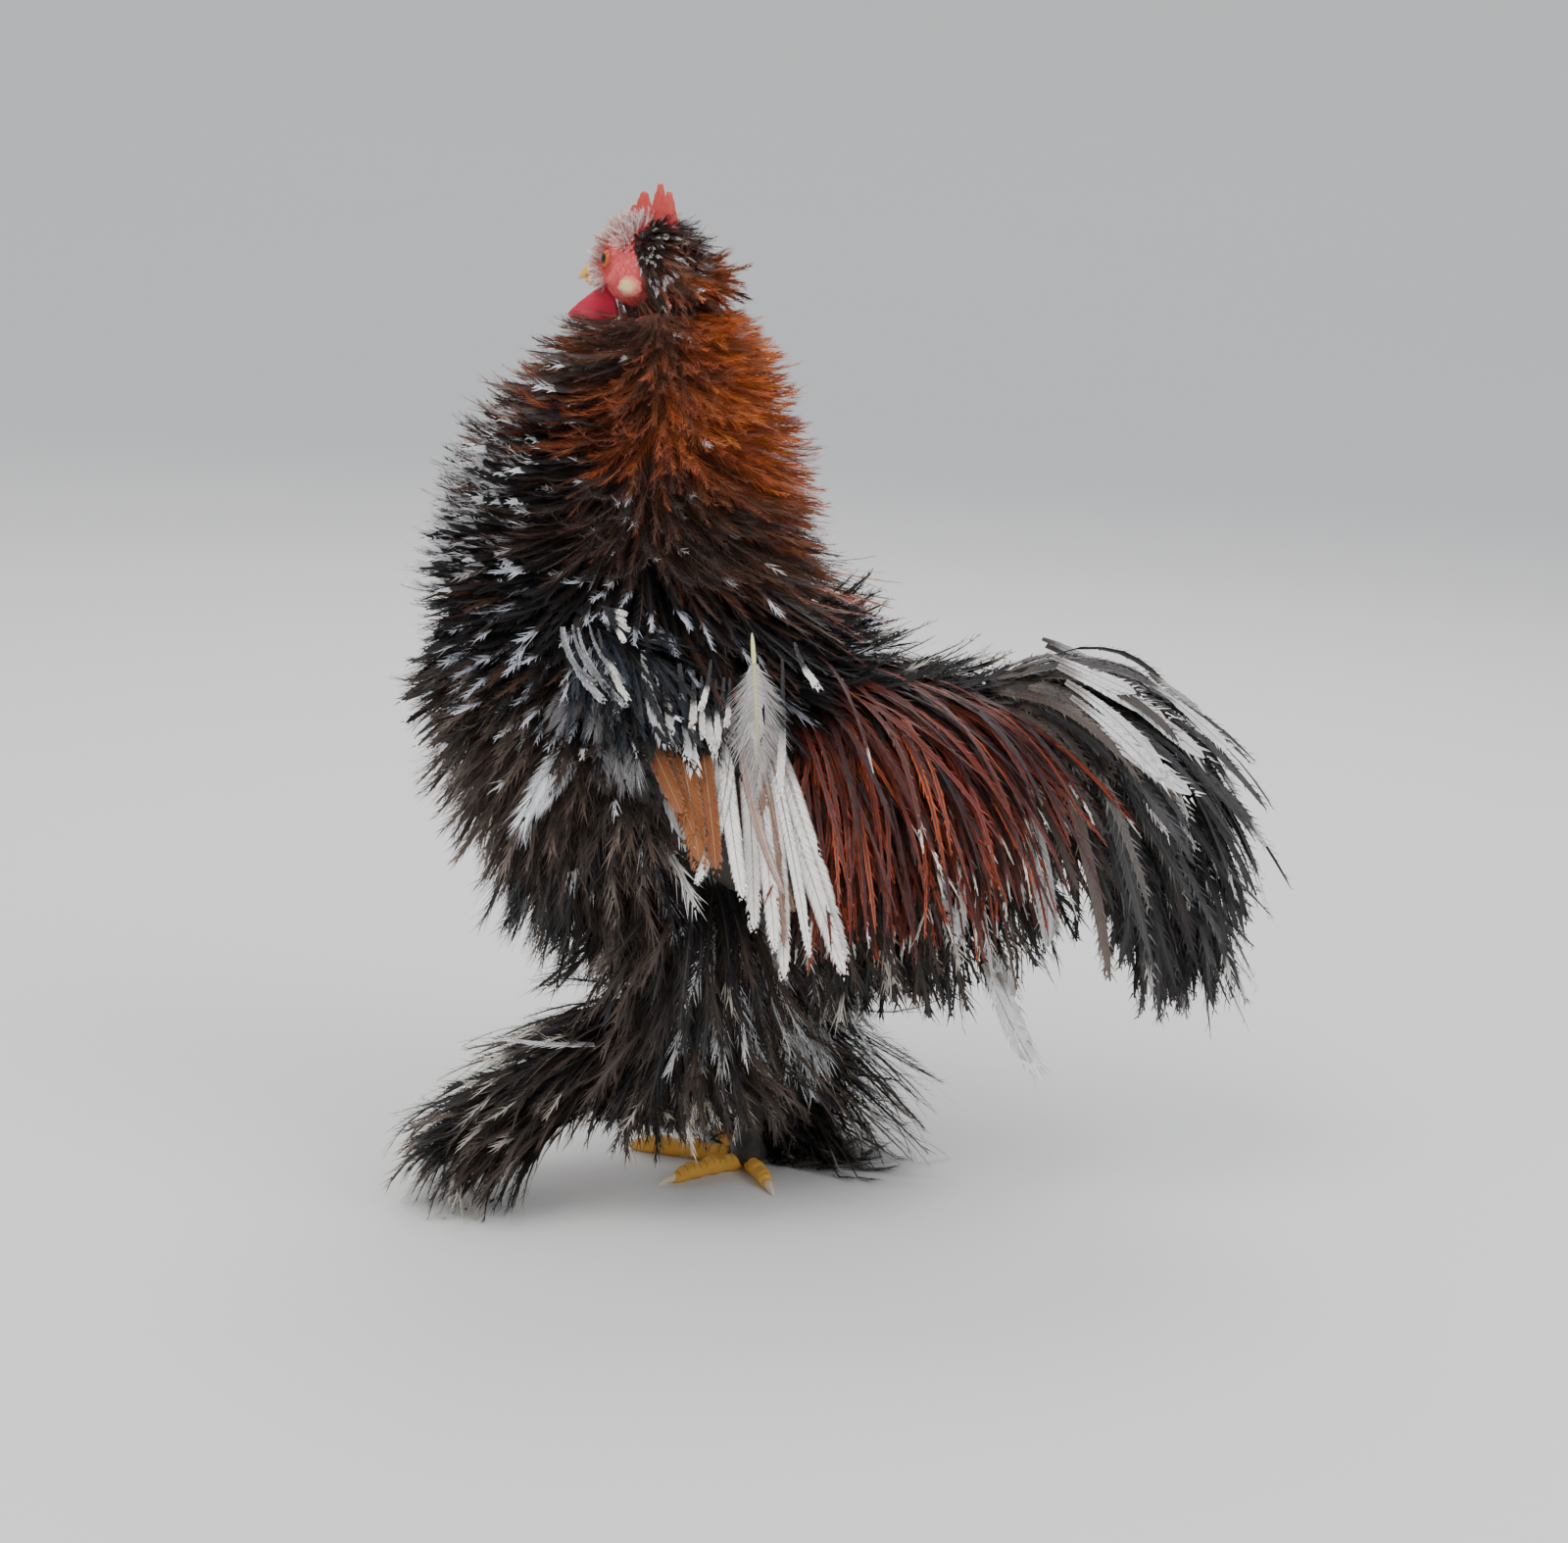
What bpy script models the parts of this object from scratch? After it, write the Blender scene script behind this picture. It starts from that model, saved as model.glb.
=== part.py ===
# A life-size frizzle chicken: a feather-footed bantam cock that stands with its head turned away.
# It faces -X, +Z is up, and its left side is towards -Y. Lengths are metres; tables are in millimetres.
import math
import random

import bmesh
import bpy
import numpy as np
from mathutils import Matrix, Vector
from mathutils.bvhtree import BVHTree

MM = 0.001
GAP = 0.3 * MM  # kept between solids that touch
SIDES = {"left": -1, "right": 1}  # the sign of Y
UP = Vector((0, 0, 1))
ACROSS = Vector((0, 1, 0))

# The skin from tail root to head: x, z of its back, x, z of its underside, half width, depth of the coat
BODY_ROWS = [
    (91, 195, 98, 181, 10, 12), (70, 201, 90, 161, 25, 16), (42, 205, 66, 137, 41, 19), (19, 209, 29, 119, 51, 19),
    (2, 212, -12, 115, 55, 18), (-6, 214, -58, 126, 56, 20), (-9, 217, -88, 160, 54, 23), (-10, 222, -95, 198, 48, 26),
    (-10, 233, -86, 231, 40, 30), (-10, 251, -73, 256, 32, 34), (-9, 273, -62, 279, 25, 33), (-10, 298, -53, 301, 20, 24),
    (-14, 322, -49, 319, 16, 12), (-23, 341, -46, 334, 11, 3),
]
BODY_PARTS = {"rump": (0, 2.6, 6), "torso": (2.6, 8.6, 13), "neck": (8.6, 13, 9)}  # start, end, rings
BODY_SIDES = 20
BODY_SPLIT = 0.006  # half the gap between them, along the line
CORE_SHARE = 0.28  # how much of the coat's depth the solid core takes up

TAIL_LINE = [
    (94, 0, 197, 15, 17), (114, 0, 199, 21, 25), (134, 0, 194, 23, 27),
    (152, 0, 181, 21, 24), (164, 0, 163, 14, 17), (170, 0, 150, 5, 6),
]
WING_LINE = [  # for the right side; the left one mirrors it
    (-60, 59, 227, 6, 5), (-48, 66, 213, 20, 8), (-24, 71, 188, 27, 9), (0, 72, 163, 26, 9),
    (18, 70, 143, 18, 8), (28, 67, 131, 7, 5),
]

# The right foot bears the bird; the left one is lifted in a step, its toes hanging
THIGHS = {
    "right": [(2, 30, 134, 22, 15), (6, 32, 114, 26, 20), (12, 32, 96, 21, 17), (18, 29, 82, 13, 11), (22, 26, 74, 6, 6)],
    "left": [(-8, -30, 140, 22, 15), (-10, -33, 124, 25, 20), (-10, -35, 110, 18, 16), (-9, -34, 101, 12, 11), (-8, -33, 95, 6, 6)],
}
HOCKS = {"right": (23, 25, 72), "left": (-8, -33, 95)}
HOCK_PLACES = (0, 1, 2.0, 2.49)  # the leg below the thigh is parted by a thin gap
SHANK_PLACES = (2.51, 3, 4, 5)
FEET = {"right": (12, 13, 6), "left": (-45, -27, 43)}
TOE_TIPS = {  # where each claw starts; toe 1 points back
    "right": {1: (21, -12, 2.6), 2: (-17, -10, 2.6), 3: (-35, 26, 2.8), 4: (-1, 48, 2.6)},
    "left": {1: (-32, -17, 26), 2: (-66, -8, 32), 3: (-83, -24, 32), 4: (-70, -38, 32)},
}
TOE_RADII = {1: 3.1, 2: 3.4, 3: 3.8, 4: 3.4}
CLAW_LENGTH = 9 * MM
FOOT_RADII = (8.5 * MM, 8.5 * MM, 7.0 * MM)

# Head, in its own frame: +X towards the bill, +Y its left, +Z up
HEAD_AT = Vector((-43, 10, 352)) * MM
HEAD_YAW = math.radians(50)  # turned away from its left side
HEAD_LINE = [
    (-20, 0, 1, 3, 3), (-17, 0, 1, 10, 9), (-10, 0, 1, 15, 12.5), (-2, 0, 0.5, 16.5, 13),
    (6, 0, 0, 15.5, 12), (13, 0, -1.5, 12, 9.2), (18, 0, -3.5, 8.5, 6.6), (21, 0, -4.8, 6.2, 4.8),
]
MOUTH_HEIGHT = -6.8 * MM
BILL_TOP_LINE = [(16, 0, -3.8, 5.2, 5.2), (22, 0, -3.6, 4.8, 4.6), (28, 0, -4.3, 3.8, 3.4), (33, 0, -6.2, 2.5, 2.1), (36, 0, -9, 0.8, 0.8)]
BILL_LOW_LINE = [(15, 0, -8.6, 3.8, 4.8), (22, 0, -8.4, 3.2, 3.8), (28, 0, -8.2, 2.3, 2.6), (32, 0, -8.2, 0.9, 1.0)]
EYE_AT = Vector((7, 9.4, 2.5)) * MM
EYE_RADIUS = 4.3 * MM
COMB_POINTS = [(16, 17), (10.5, 22), (4.5, 27), (-3, 31), (-10, 28.5), (-16, 23)]  # x and height of each point
COMB_THICK = 2.8 * MM

SEED = 11
VANE_THICK = 0.85 * MM
VANE_STEPS = ((0.0, 0.5), (0.38, 1.0), (0.76, 0.82), (1.0, 0.0))  # share of the length, of the width
SUNK = 4.5 * MM  # how deep a root goes in
CLEAR = 0.35 * MM  # kept from the feathers and flesh of other nodes
FLOOR_CLEAR = 1.6 * MM
# Where a feather meets another node it is tried again with these shares of its length and degrees of lift
RETRIES = ((1, 0), (1, 12), (1, -10), (0.85, 8), (0.85, 24), (0.7, -8), (0.7, 16), (0.55, 0), (0.55, 25), (0.42, 10))

# Rows of feathers: place along the line, how many, from and to (degrees from the back, either way round),
# length, width, lift off the skin and curl (degrees)
NECK_ROWS = [
    (12.6, 8, 0, 180, 30, 15, 28, 50), (11.9, 8, 0, 180, 38, 18, 28, 58), (11.0, 8, 0, 180, 44, 22, 28, 64),
    (10.1, 9, 0, 180, 47, 24, 30, 68), (9.2, 9, 0, 180, 46, 25, 32, 74),
]
TORSO_ROWS = [
    (8.0, 9, 25, 180, 36, 25, 26, 85), (7.1, 8, 50, 180, 33, 25, 24, 100), (6.2, 7, 75, 180, 31, 24, 24, 110),
    (5.4, 7, 95, 180, 31, 22, 24, 110), (4.6, 6, 110, 180, 32, 21, 24, 100), (3.6, 5, 120, 180, 32, 21, 22, 85),
    (3.6, 5, 0, 58, 34, 20, 26, 55), (4.9, 5, 0, 50, 38, 20, 32, 55),
]
RUMP_ROWS = [
    (2.35, 10, 0, 180, 38, 22, 22, 56), (1.5, 8, 0, 180, 40, 22, 22, 54), (0.75, 6, 0, 180, 40, 20, 20, 46),
]
TAIL_ROWS = [
    (0.9, 7, 0, 180, 38, 19, 14, 26), (2.0, 7, 0, 180, 47, 19, 12, 28), (3.0, 6, 0, 180, 48, 19, 10, 24),
    (4.1, 5, 0, 180, 46, 17, 6, 12),
]
COVERT_ROWS = [  # on a wing's outer face, degrees from its front edge
    (1.1, 3, 50, 125, 34, 20, 16, 75), (2.0, 3, 50, 130, 36, 20, 16, 75), (2.9, 3, 50, 130, 38, 19, 14, 65),
]
THIGH_ROWS = [(1.2, 4, 20, 180, 34, 19, 16, 55), (2.2, 5, 0, 180, 30, 17, 14, 45)]
HEAD_ROWS = [(0.9, 4, 95, 180, 21, 12, 16, 45), (1.8, 3, 115, 180, 19, 12, 12, 40)]  # here 180 is the crown
# Single feathers: root, the way it lies, the way its face looks, length, width, lift, curl. Right side, mirrored on the left.
FLIGHT_FEATHERS = [
    ((-4, 77, 166), (0.30, 0.10, -0.95), 62, 13), ((3, 77, 160), (0.38, 0.08, -0.92), 66, 13),
    ((9, 76, 154), (0.46, 0.06, -0.89), 68, 13), ((15, 75, 149), (0.54, 0.04, -0.84), 68, 13),
    ((20, 73, 144), (0.63, 0.02, -0.78), 66, 12), ((24, 71, 140), (0.72, 0.0, -0.69), 62, 11),
    ((27, 69, 136), (0.80, -0.04, -0.60), 56, 10),
]

COLOURS = {  # colour, roughness
    "head": ((0.62, 0.10, 0.09), 0.55), "comb": ((0.72, 0.06, 0.05), 0.5), "wattle": ((0.66, 0.04, 0.06), 0.5),
    "earlobe": ((0.86, 0.72, 0.55), 0.55), "bill": ((0.80, 0.55, 0.16), 0.35), "eye": ((0.45, 0.14, 0.03), 0.08),
    "hackle": ((0.36, 0.10, 0.03), 0.6), "breast": ((0.07, 0.05, 0.045), 0.65), "saddle": ((0.26, 0.05, 0.02), 0.6),
    "tail": ((0.05, 0.04, 0.035), 0.6), "wing": ((0.30, 0.20, 0.15), 0.6), "fluff": ((0.08, 0.06, 0.05), 0.7),
    "foot": ((0.85, 0.45, 0.05), 0.5), "claw": ((0.75, 0.6, 0.48), 0.4),
}

# Leg feathers from the top of each node down: how far back (or forward), outward and up they lie, and their length
HOCK_FEATHERS = {
    "right": [
        (0.85, 0.25, -0.35, 66), (0.80, -0.25, -0.50, 66), (0.78, 0.0, -0.62, 78), (0.70, 0.45, -0.55, 66),
        (0.62, -0.35, -0.70, 66), (0.60, 0.15, -0.80, 74), (0.45, 0.5, -0.75, 60), (0.42, -0.2, -0.88, 62),
        (0.30, 0.2, -0.93, 56),
    ],
    "left": [
        (0.85, 0.30, -0.35, 58), (0.80, -0.20, -0.50, 56), (0.72, 0.10, -0.62, 62), (0.60, 0.45, -0.60, 56),
        (0.52, -0.2, -0.80, 54), (0.45, 0.25, -0.85, 52),
    ],
}
FOOT_FEATHERS = {
    "right": [
        (0.75, 0.60, -0.30, 48), (0.45, 0.85, -0.25, 50), (0.85, 0.45, -0.30, 52), (0.60, 0.75, -0.18, 54),
        (0.20, 0.95, -0.20, 48), (0.80, 0.60, -0.12, 56), (0.40, 0.90, -0.12, 52), (0.65, 0.75, -0.04, 54),
    ],
    "left": [
        (0.80, 0.35, 0.02, 62), (0.85, 0.10, -0.04, 66), (0.75, 0.60, -0.10, 64), (0.90, 0.30, -0.16, 74),
        (0.90, 0.12, -0.16, 74), (0.70, 0.62, -0.30, 62), (0.92, 0.30, -0.30, 78), (0.82, 0.48, -0.40, 70),
        (0.50, 0.75, -0.42, 46), (0.86, 0.40, -0.46, 66),
    ],
}
UNDER_TAIL = [(4, 0.28, 100), (-24, 0.20, 62), (30, 0.36, 66), (-10, 0.45, 72), (18, 0.12, 58)]  # degrees, back, length


def smooth(rows, t):
    # A Catmull-Rom curve through the rows of a table
    last = len(rows) - 1
    i = min(max(int(t), 0), last - 1)
    u = t - i
    p0, p1, p2, p3 = rows[max(i - 1, 0)], rows[i], rows[i + 1], rows[min(i + 2, last)]
    return 0.5 * (2 * p1 + (p2 - p0) * u + (2 * p0 - 5 * p1 + 4 * p2 - p3) * u ** 2 + (3 * p1 - p0 - 3 * p2 + p3) * u ** 3)


def line_rows(line, side=ACROSS, mirror=1):
    # Sections square to a line of x, y, z, half depth, half width
    line = np.array([(x, y * mirror, z, a, b) for x, y, z, a, b in line], float) * MM
    rows = []
    for i, (*centre, depth, width) in enumerate(line):
        tangent = Vector(line[min(i + 1, len(line) - 1), :3] - line[max(i - 1, 0), :3]).normalized()
        across = (Vector(side) - tangent * tangent.dot(Vector(side))).normalized()
        rows.append((*centre, *(across.cross(tangent) * depth), *(across * width)))
    return rows


def body_rows():
    rows = []
    for x, z, low_x, low_z, width, coat in BODY_ROWS:
        reach = CORE_SHARE * coat / math.hypot(x - low_x, z - low_z)
        x, low_x = x + (x - low_x) * reach, low_x - (x - low_x) * reach
        z, low_z = z + (z - low_z) * reach, low_z - (z - low_z) * reach
        width += CORE_SHARE * coat
        centre, up = ((x + low_x) / 2, 0, (z + low_z) / 2), ((x - low_x) / 2, 0, (z - low_z) / 2)
        rows.append(np.array((*centre, *up, 0, width, 0)) * MM)
    return rows


class Loft:
    # An oval tube through sections: a flesh shape, and the surface that feathers grow from
    def __init__(self, rows):
        self.rows = np.array(rows, float)
        self.last = len(rows) - 1

    def place(self, t, grow=0.0):
        # centre, the vector to the section's top and the one to its side at t
        row = smooth(self.rows, t)
        up, side = Vector(row[3:6]), Vector(row[6:9])
        return Vector(row[:3]), up + up.normalized() * grow, side + side.normalized() * grow

    def point(self, t, turn, grow=0.0):
        centre, up, side = self.place(t, grow)
        return centre + up * math.cos(turn) + side * math.sin(turn)

    def frame(self, t, turn, grow=0.0):
        # a surface point, its outward normal, and the surface's way along the line
        step = 0.03
        here = self.point(t, turn, grow)
        along = self.point(min(t + step, self.last), turn, grow) - self.point(max(t - step, 0), turn, grow)
        around = self.point(t, turn + step, grow) - self.point(t, turn - step, grow)
        return here, around.cross(along).normalized(), along.normalized()

    def mesh(self, rings, sides, grow=0.0, places=None):
        # closed by flat ends; places are the rings' own places along the line
        points, faces = [], []
        places = [self.last * i / rings for i in range(rings + 1)] if places is None else places
        rings = len(places) - 1
        for t in places:
            points += [self.point(t, 2 * math.pi * j / sides, grow) for j in range(sides)]
        for i in range(rings):
            for j in range(sides):
                k = (j + 1) % sides
                faces.append((i * sides + j, i * sides + k, (i + 1) * sides + k, (i + 1) * sides + j))
        faces.append(tuple(reversed(range(sides))))
        faces.append(tuple(range(rings * sides, (rings + 1) * sides)))
        return points, faces


def new_object(name, points, faces, where=None):
    data = bpy.data.meshes.new(name)
    data.from_pydata([tuple(p) for p in points], [], faces)
    data.update()
    made = bpy.data.objects.new(name, data)
    (where or bpy.context.scene.collection).objects.link(made)
    return made


def sphere(name, centre, radii, segments=16, rings=10, turn=None):
    data = bpy.data.meshes.new(name)
    form = bmesh.new()
    bmesh.ops.create_uvsphere(form, u_segments=segments, v_segments=rings, radius=1.0)
    matrix = Matrix.Translation(centre) @ (turn or Matrix.Identity(4)) @ Matrix.Diagonal((*radii, 1.0))
    bmesh.ops.transform(form, matrix=matrix, verts=form.verts)
    form.to_mesh(data)
    form.free()
    made = bpy.data.objects.new(name, data)
    bpy.context.scene.collection.objects.link(made)
    return made


def box(name, low, high):
    data = bpy.data.meshes.new(name)
    form = bmesh.new()
    low, high = Vector(low), Vector(high)
    bmesh.ops.create_cube(form, size=1.0)
    matrix = Matrix.Translation((low + high) / 2) @ Matrix.Diagonal((*(high - low), 1.0))
    bmesh.ops.transform(form, matrix=matrix, verts=form.verts)
    form.to_mesh(data)
    form.free()
    made = bpy.data.objects.new(name, data)
    bpy.context.scene.collection.objects.link(made)
    return made


def apply_boolean(target, operation, operand=None, collection=None, solver="EXACT"):
    step = target.modifiers.new(operation.lower(), "BOOLEAN")
    step.operation = operation
    step.solver = solver
    if collection:
        step.operand_type = "COLLECTION"
        step.collection = collection
    else:
        step.object = operand
    bpy.context.view_layer.update()
    graph = bpy.context.evaluated_depsgraph_get()
    made = bpy.data.meshes.new_from_object(target.evaluated_get(graph))
    target.modifiers.clear()
    old = target.data
    target.data = made
    bpy.data.meshes.remove(old)
    for helper in list(collection.objects) if collection else [operand]:
        bpy.data.objects.remove(helper)
    if collection:
        bpy.data.collections.remove(collection)


def cut(target, *cutters):
    for cutter in cutters:
        apply_boolean(target, "DIFFERENCE", cutter)


def join(target, pieces, solver="EXACT"):
    if not pieces:
        return
    group = bpy.data.collections.new(target.name + "_pieces")
    bpy.context.scene.collection.children.link(group)
    for piece in pieces:
        for home in list(piece.users_collection):
            home.objects.unlink(piece)
        group.objects.link(piece)
    apply_boolean(target, "UNION", collection=group, solver=solver)
    keep_largest(target)


def keep_largest(target):
    # Of the closed surfaces in a mesh only the largest stays
    form = bmesh.new()
    form.from_mesh(target.data)
    left = set(form.verts)
    groups = []
    while left:
        seed = left.pop()
        group, edge = {seed}, [seed]
        while edge:
            for link in edge.pop().link_edges:
                for other in link.verts:
                    if other in left:
                        left.discard(other)
                        group.add(other)
                        edge.append(other)
        groups.append(group)
    groups.sort(key=len)
    small = [v for group in groups[:-1] for v in group]
    bmesh.ops.delete(form, geom=small, context="VERTS")
    form.to_mesh(target.data)
    form.free()


def finish_node(made, colour, where):
    for home in list(made.users_collection):
        home.objects.unlink(made)
    where.objects.link(made)
    shade, rough = COLOURS[colour]
    material = bpy.data.materials.new(made.name)
    material.use_nodes = True
    shader = material.node_tree.nodes["Principled BSDF"]
    shader.inputs["Base Color"].default_value = (*shade, 1.0)
    shader.inputs["Roughness"].default_value = rough
    made.data.materials.clear()
    made.data.materials.append(material)
    made.data.shade_smooth()
    made.data.set_sharp_from_angle(angle=math.radians(40))
    return made


def head_frame():
    # The head's own frame in the world's: its +X looks forward and away from the left side
    forward = Vector((-math.cos(HEAD_YAW), math.sin(HEAD_YAW), 0))
    left = UP.cross(forward)
    return Matrix.Translation(HEAD_AT) @ Matrix((forward, left, UP)).transposed().to_4x4()


def place_in_head(made):
    made.data.transform(head_frame())
    return made


def head_loft():
    # The skull's sections in the world's frame
    frame = head_frame()
    rows = line_rows(HEAD_LINE)
    return Loft([(*(frame @ Vector(r[:3])), *(frame.to_3x3() @ Vector(r[3:6])), *(frame.to_3x3() @ Vector(r[6:9]))) for r in rows])


def head_cutter(grow=GAP):
    return new_object("head_cutter", *Loft(line_rows(HEAD_LINE)).mesh(12, 16, grow))


def neck_cutter():
    # Slightly larger than the neck, in the head's frame, so that the skull sits on it
    made = new_object("neck_cutter", *Loft(body_rows()).mesh(0, BODY_SIDES, GAP, body_places("neck")))
    made.data.transform(Matrix.Translation(UP * GAP))
    made.data.transform(head_frame().inverted())
    return made


def eye_parts(side):
    sign = -SIDES[side]  # in the head's frame its left is +Y
    at = Vector((EYE_AT.x, EYE_AT.y * sign, EYE_AT.z))
    outward = Vector((0.28, sign, 0.06)).normalized()
    aim = outward.to_track_quat("Z", "Y").to_matrix().to_4x4()
    return at, outward, aim


def eyelid(side):
    at, outward, aim = eye_parts(side)
    bpy.ops.mesh.primitive_torus_add(major_segments=14, minor_segments=5, major_radius=3.9 * MM, minor_radius=1.2 * MM)
    ring = bpy.context.object
    ring.data.transform(Matrix.Translation(at + outward * 2.0 * MM) @ aim @ Matrix.Diagonal((1.0, 0.92, 1.0, 1.0)))
    return ring


def make_head():
    head = new_object("head", *Loft(line_rows(HEAD_LINE)).mesh(12, 16))
    join(head, [eyelid("left"), eyelid("right")])
    for side in SIDES:
        at, _, _ = eye_parts(side)
        cut(head, sphere("socket", at, (EYE_RADIUS + GAP,) * 3, 12, 8))
    slit = 0.35 * MM
    cut(head, box("mouth_line", (12 * MM, -14 * MM, MOUTH_HEIGHT - slit), (30 * MM, 14 * MM, MOUTH_HEIGHT + slit)))
    cut(head, neck_cutter())
    keep_largest(head)
    return place_in_head(head)


def make_eye(side):
    at, _, _ = eye_parts(side)
    return place_in_head(sphere("eye_" + side, at, (EYE_RADIUS,) * 3, 12, 8))


def make_bill_upper():
    bill = new_object("bill_upper", *Loft(line_rows(BILL_TOP_LINE)).mesh(8, 12))
    cut(bill, box("mouth", (5 * MM, -9 * MM, -20 * MM), (33.4 * MM, 9 * MM, MOUTH_HEIGHT + 0.2 * MM)))
    for sign in (-1, 1):
        nostril = (1.5 * MM, 1.0 * MM, 0.7 * MM)
        cut(bill, sphere("nostril", Vector((24.5, 3.9 * sign, -2.8)) * MM, nostril, 8, 5))
    cut(bill, head_cutter())
    keep_largest(bill)
    return place_in_head(bill)


def make_bill_lower():
    bill = new_object("bill_lower", *Loft(line_rows(BILL_LOW_LINE)).mesh(7, 12))
    cut(bill, box("mouth", (5 * MM, -9 * MM, MOUTH_HEIGHT - 0.2 * MM), (40 * MM, 9 * MM, 5 * MM)))
    cut(bill, head_cutter())
    keep_largest(bill)
    return place_in_head(bill)


def make_comb():
    outline = [(18, 4), (19, 12)]
    for i, (x, height) in enumerate(COMB_POINTS):
        outline += [(x + 2.2, height - 4.5), (x, height), (x - 1.6, height - 3.5)]
        if i + 1 < len(COMB_POINTS):
            following, next_height = COMB_POINTS[i + 1]
            outline.append(((x + following) / 2 - 0.2, min(height, next_height) - 7.5))
    outline += [(-19, 13), (-14, 4)]
    curve = bpy.data.curves.new("comb", "CURVE")
    curve.dimensions = "2D"
    curve.fill_mode = "BOTH"
    curve.extrude = COMB_THICK / 2 - 0.5 * MM
    curve.bevel_depth = 0.5 * MM
    curve.bevel_resolution = 1
    line = curve.splines.new("POLY")
    line.points.add(len(outline) - 1)
    line.use_cyclic_u = True
    for spot, (x, z) in zip(line.points, outline):
        spot.co = (x * MM, z * MM, 0, 1)
    flat = bpy.data.objects.new("comb_curve", curve)
    bpy.context.scene.collection.objects.link(flat)
    bpy.context.view_layer.update()
    data = bpy.data.meshes.new_from_object(flat.evaluated_get(bpy.context.evaluated_depsgraph_get()))
    form = bmesh.new()
    form.from_mesh(data)
    bmesh.ops.remove_doubles(form, verts=form.verts, dist=0.02 * MM)
    bmesh.ops.transform(form, matrix=Matrix.Rotation(math.radians(90), 4, "X"), verts=form.verts)
    bmesh.ops.recalc_face_normals(form, faces=form.faces)
    form.to_mesh(data)
    form.free()
    bpy.data.objects.remove(flat)
    comb = bpy.data.objects.new("comb", data)
    bpy.context.scene.collection.objects.link(comb)
    cut(comb, head_cutter())
    keep_largest(comb)
    return place_in_head(comb)


def make_wattle(side):
    # A thin lobe, broad below. The left one swings out and forward, as the photo's does.
    sign = -SIDES[side]
    root = Vector((13, 3.5 * sign, -13)) * MM
    tip = Vector((25, 15, -23)) * MM if side == "left" else Vector((17, -7, -30)) * MM
    down = (tip - root).normalized()
    broad = Vector((1, -0.15 * sign, 0.55)).normalized()
    broad = (broad - down * broad.dot(down)).normalized()
    turn = Matrix((broad, down.cross(broad), down)).transposed().to_4x4()
    length = (tip - root).length
    lobe = sphere("wattle_" + side, Vector(), (7.5 * MM, 1.5 * MM, length / 2), 12, 8)
    for spot in lobe.data.vertices:
        share = spot.co.z / length + 0.5
        spot.co.x *= 0.55 + 0.55 * share
        spot.co.y *= 0.8 + 0.5 * share
        spot.co.y += 1.6 * MM * math.sin(share * 3.0)
    lobe.data.transform(Matrix.Translation((root + tip) / 2) @ turn)
    cut(lobe, head_cutter())
    lower = new_object("bill_cutter", *Loft(line_rows(BILL_LOW_LINE)).mesh(7, 12, GAP))
    cut(lobe, lower, neck_cutter())
    keep_largest(lobe)
    return place_in_head(lobe)


def make_earlobe(side):
    sign = -SIDES[side]
    lobe = sphere("earlobe_" + side, Vector((-2.5, 11.6 * sign, -9.5)) * MM, (4.8 * MM, 3.4 * MM, 6.2 * MM), 12, 8)
    cut(lobe, head_cutter(), neck_cutter())
    keep_largest(lobe)
    return place_in_head(lobe)


def body_places(*names):
    places = []
    for name in names:
        start, end, rings = BODY_PARTS[name]
        places += [round(start + (end - start) * i / rings, 4) for i in range(rings + 1)]
    return sorted(set(places))


def body_piece(name):
    # A length of the body, parted from the next by a thin gap
    places = body_places(name)
    places[0] += BODY_SPLIT * (places[0] > 0)
    places[-1] -= BODY_SPLIT * (places[-1] < BODY_PARTS["neck"][1])
    return new_object(name, *Loft(body_rows()).mesh(0, BODY_SIDES, 0, places))


def body_cutter(grow=GAP):
    return new_object("body_cutter", *Loft(body_rows()).mesh(0, BODY_SIDES, grow, body_places(*BODY_PARTS)))


def make_tail_core():
    tail = new_object("tail", *Loft(line_rows(TAIL_LINE)).mesh(12, 16))
    cut(tail, body_cutter())
    keep_largest(tail)
    return tail


def make_wing_core(side):
    wing = new_object("wing_" + side, *Loft(line_rows(WING_LINE, mirror=SIDES[side])).mesh(10, 10))
    cut(wing, body_cutter())
    keep_largest(wing)
    return wing


def thigh_loft(side):
    return Loft(line_rows(THIGHS[side]))


def shank_loft(side):
    top, low = Vector(HOCKS[side]), Vector(FEET[side]) + UP * 3
    rows = []
    for share, radius in ((0, 5.5), (0.1, 8.0), (0.3, 6.2), (0.6, 5.2), (0.85, 5.4), (1, 6.0)):
        rows.append((*top.lerp(low, share), radius, radius * 0.9))
    return Loft(line_rows(rows))


def make_thigh(side):
    thigh = new_object("thigh_" + side, *thigh_loft(side).mesh(6, 12))
    cut(thigh, body_cutter())
    cut(thigh, new_object("wing_cutter", *Loft(line_rows(WING_LINE, mirror=SIDES[side])).mesh(10, 10, GAP)))
    keep_largest(thigh)
    return thigh


def make_leg(side, name, places):
    leg = new_object(name + "_" + side, *shank_loft(side).mesh(0, 10, 0, places))
    cut(leg, new_object("thigh_cutter", *thigh_loft(side).mesh(6, 12, GAP)), foot_pad(side, GAP))
    keep_largest(leg)
    return leg


def foot_pad(side, grow=0.0):
    return sphere("foot_" + side, Vector(FEET[side]) * MM, [r + grow for r in FOOT_RADII], 12, 6)


def floor_cutter(height=0.0):
    return box("floor_cutter", (-0.4, -0.4, -0.05), (0.4, 0.4, height))


def make_foot(side):
    foot = foot_pad(side)
    cut(foot, floor_cutter())
    keep_largest(foot)
    return foot


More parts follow.
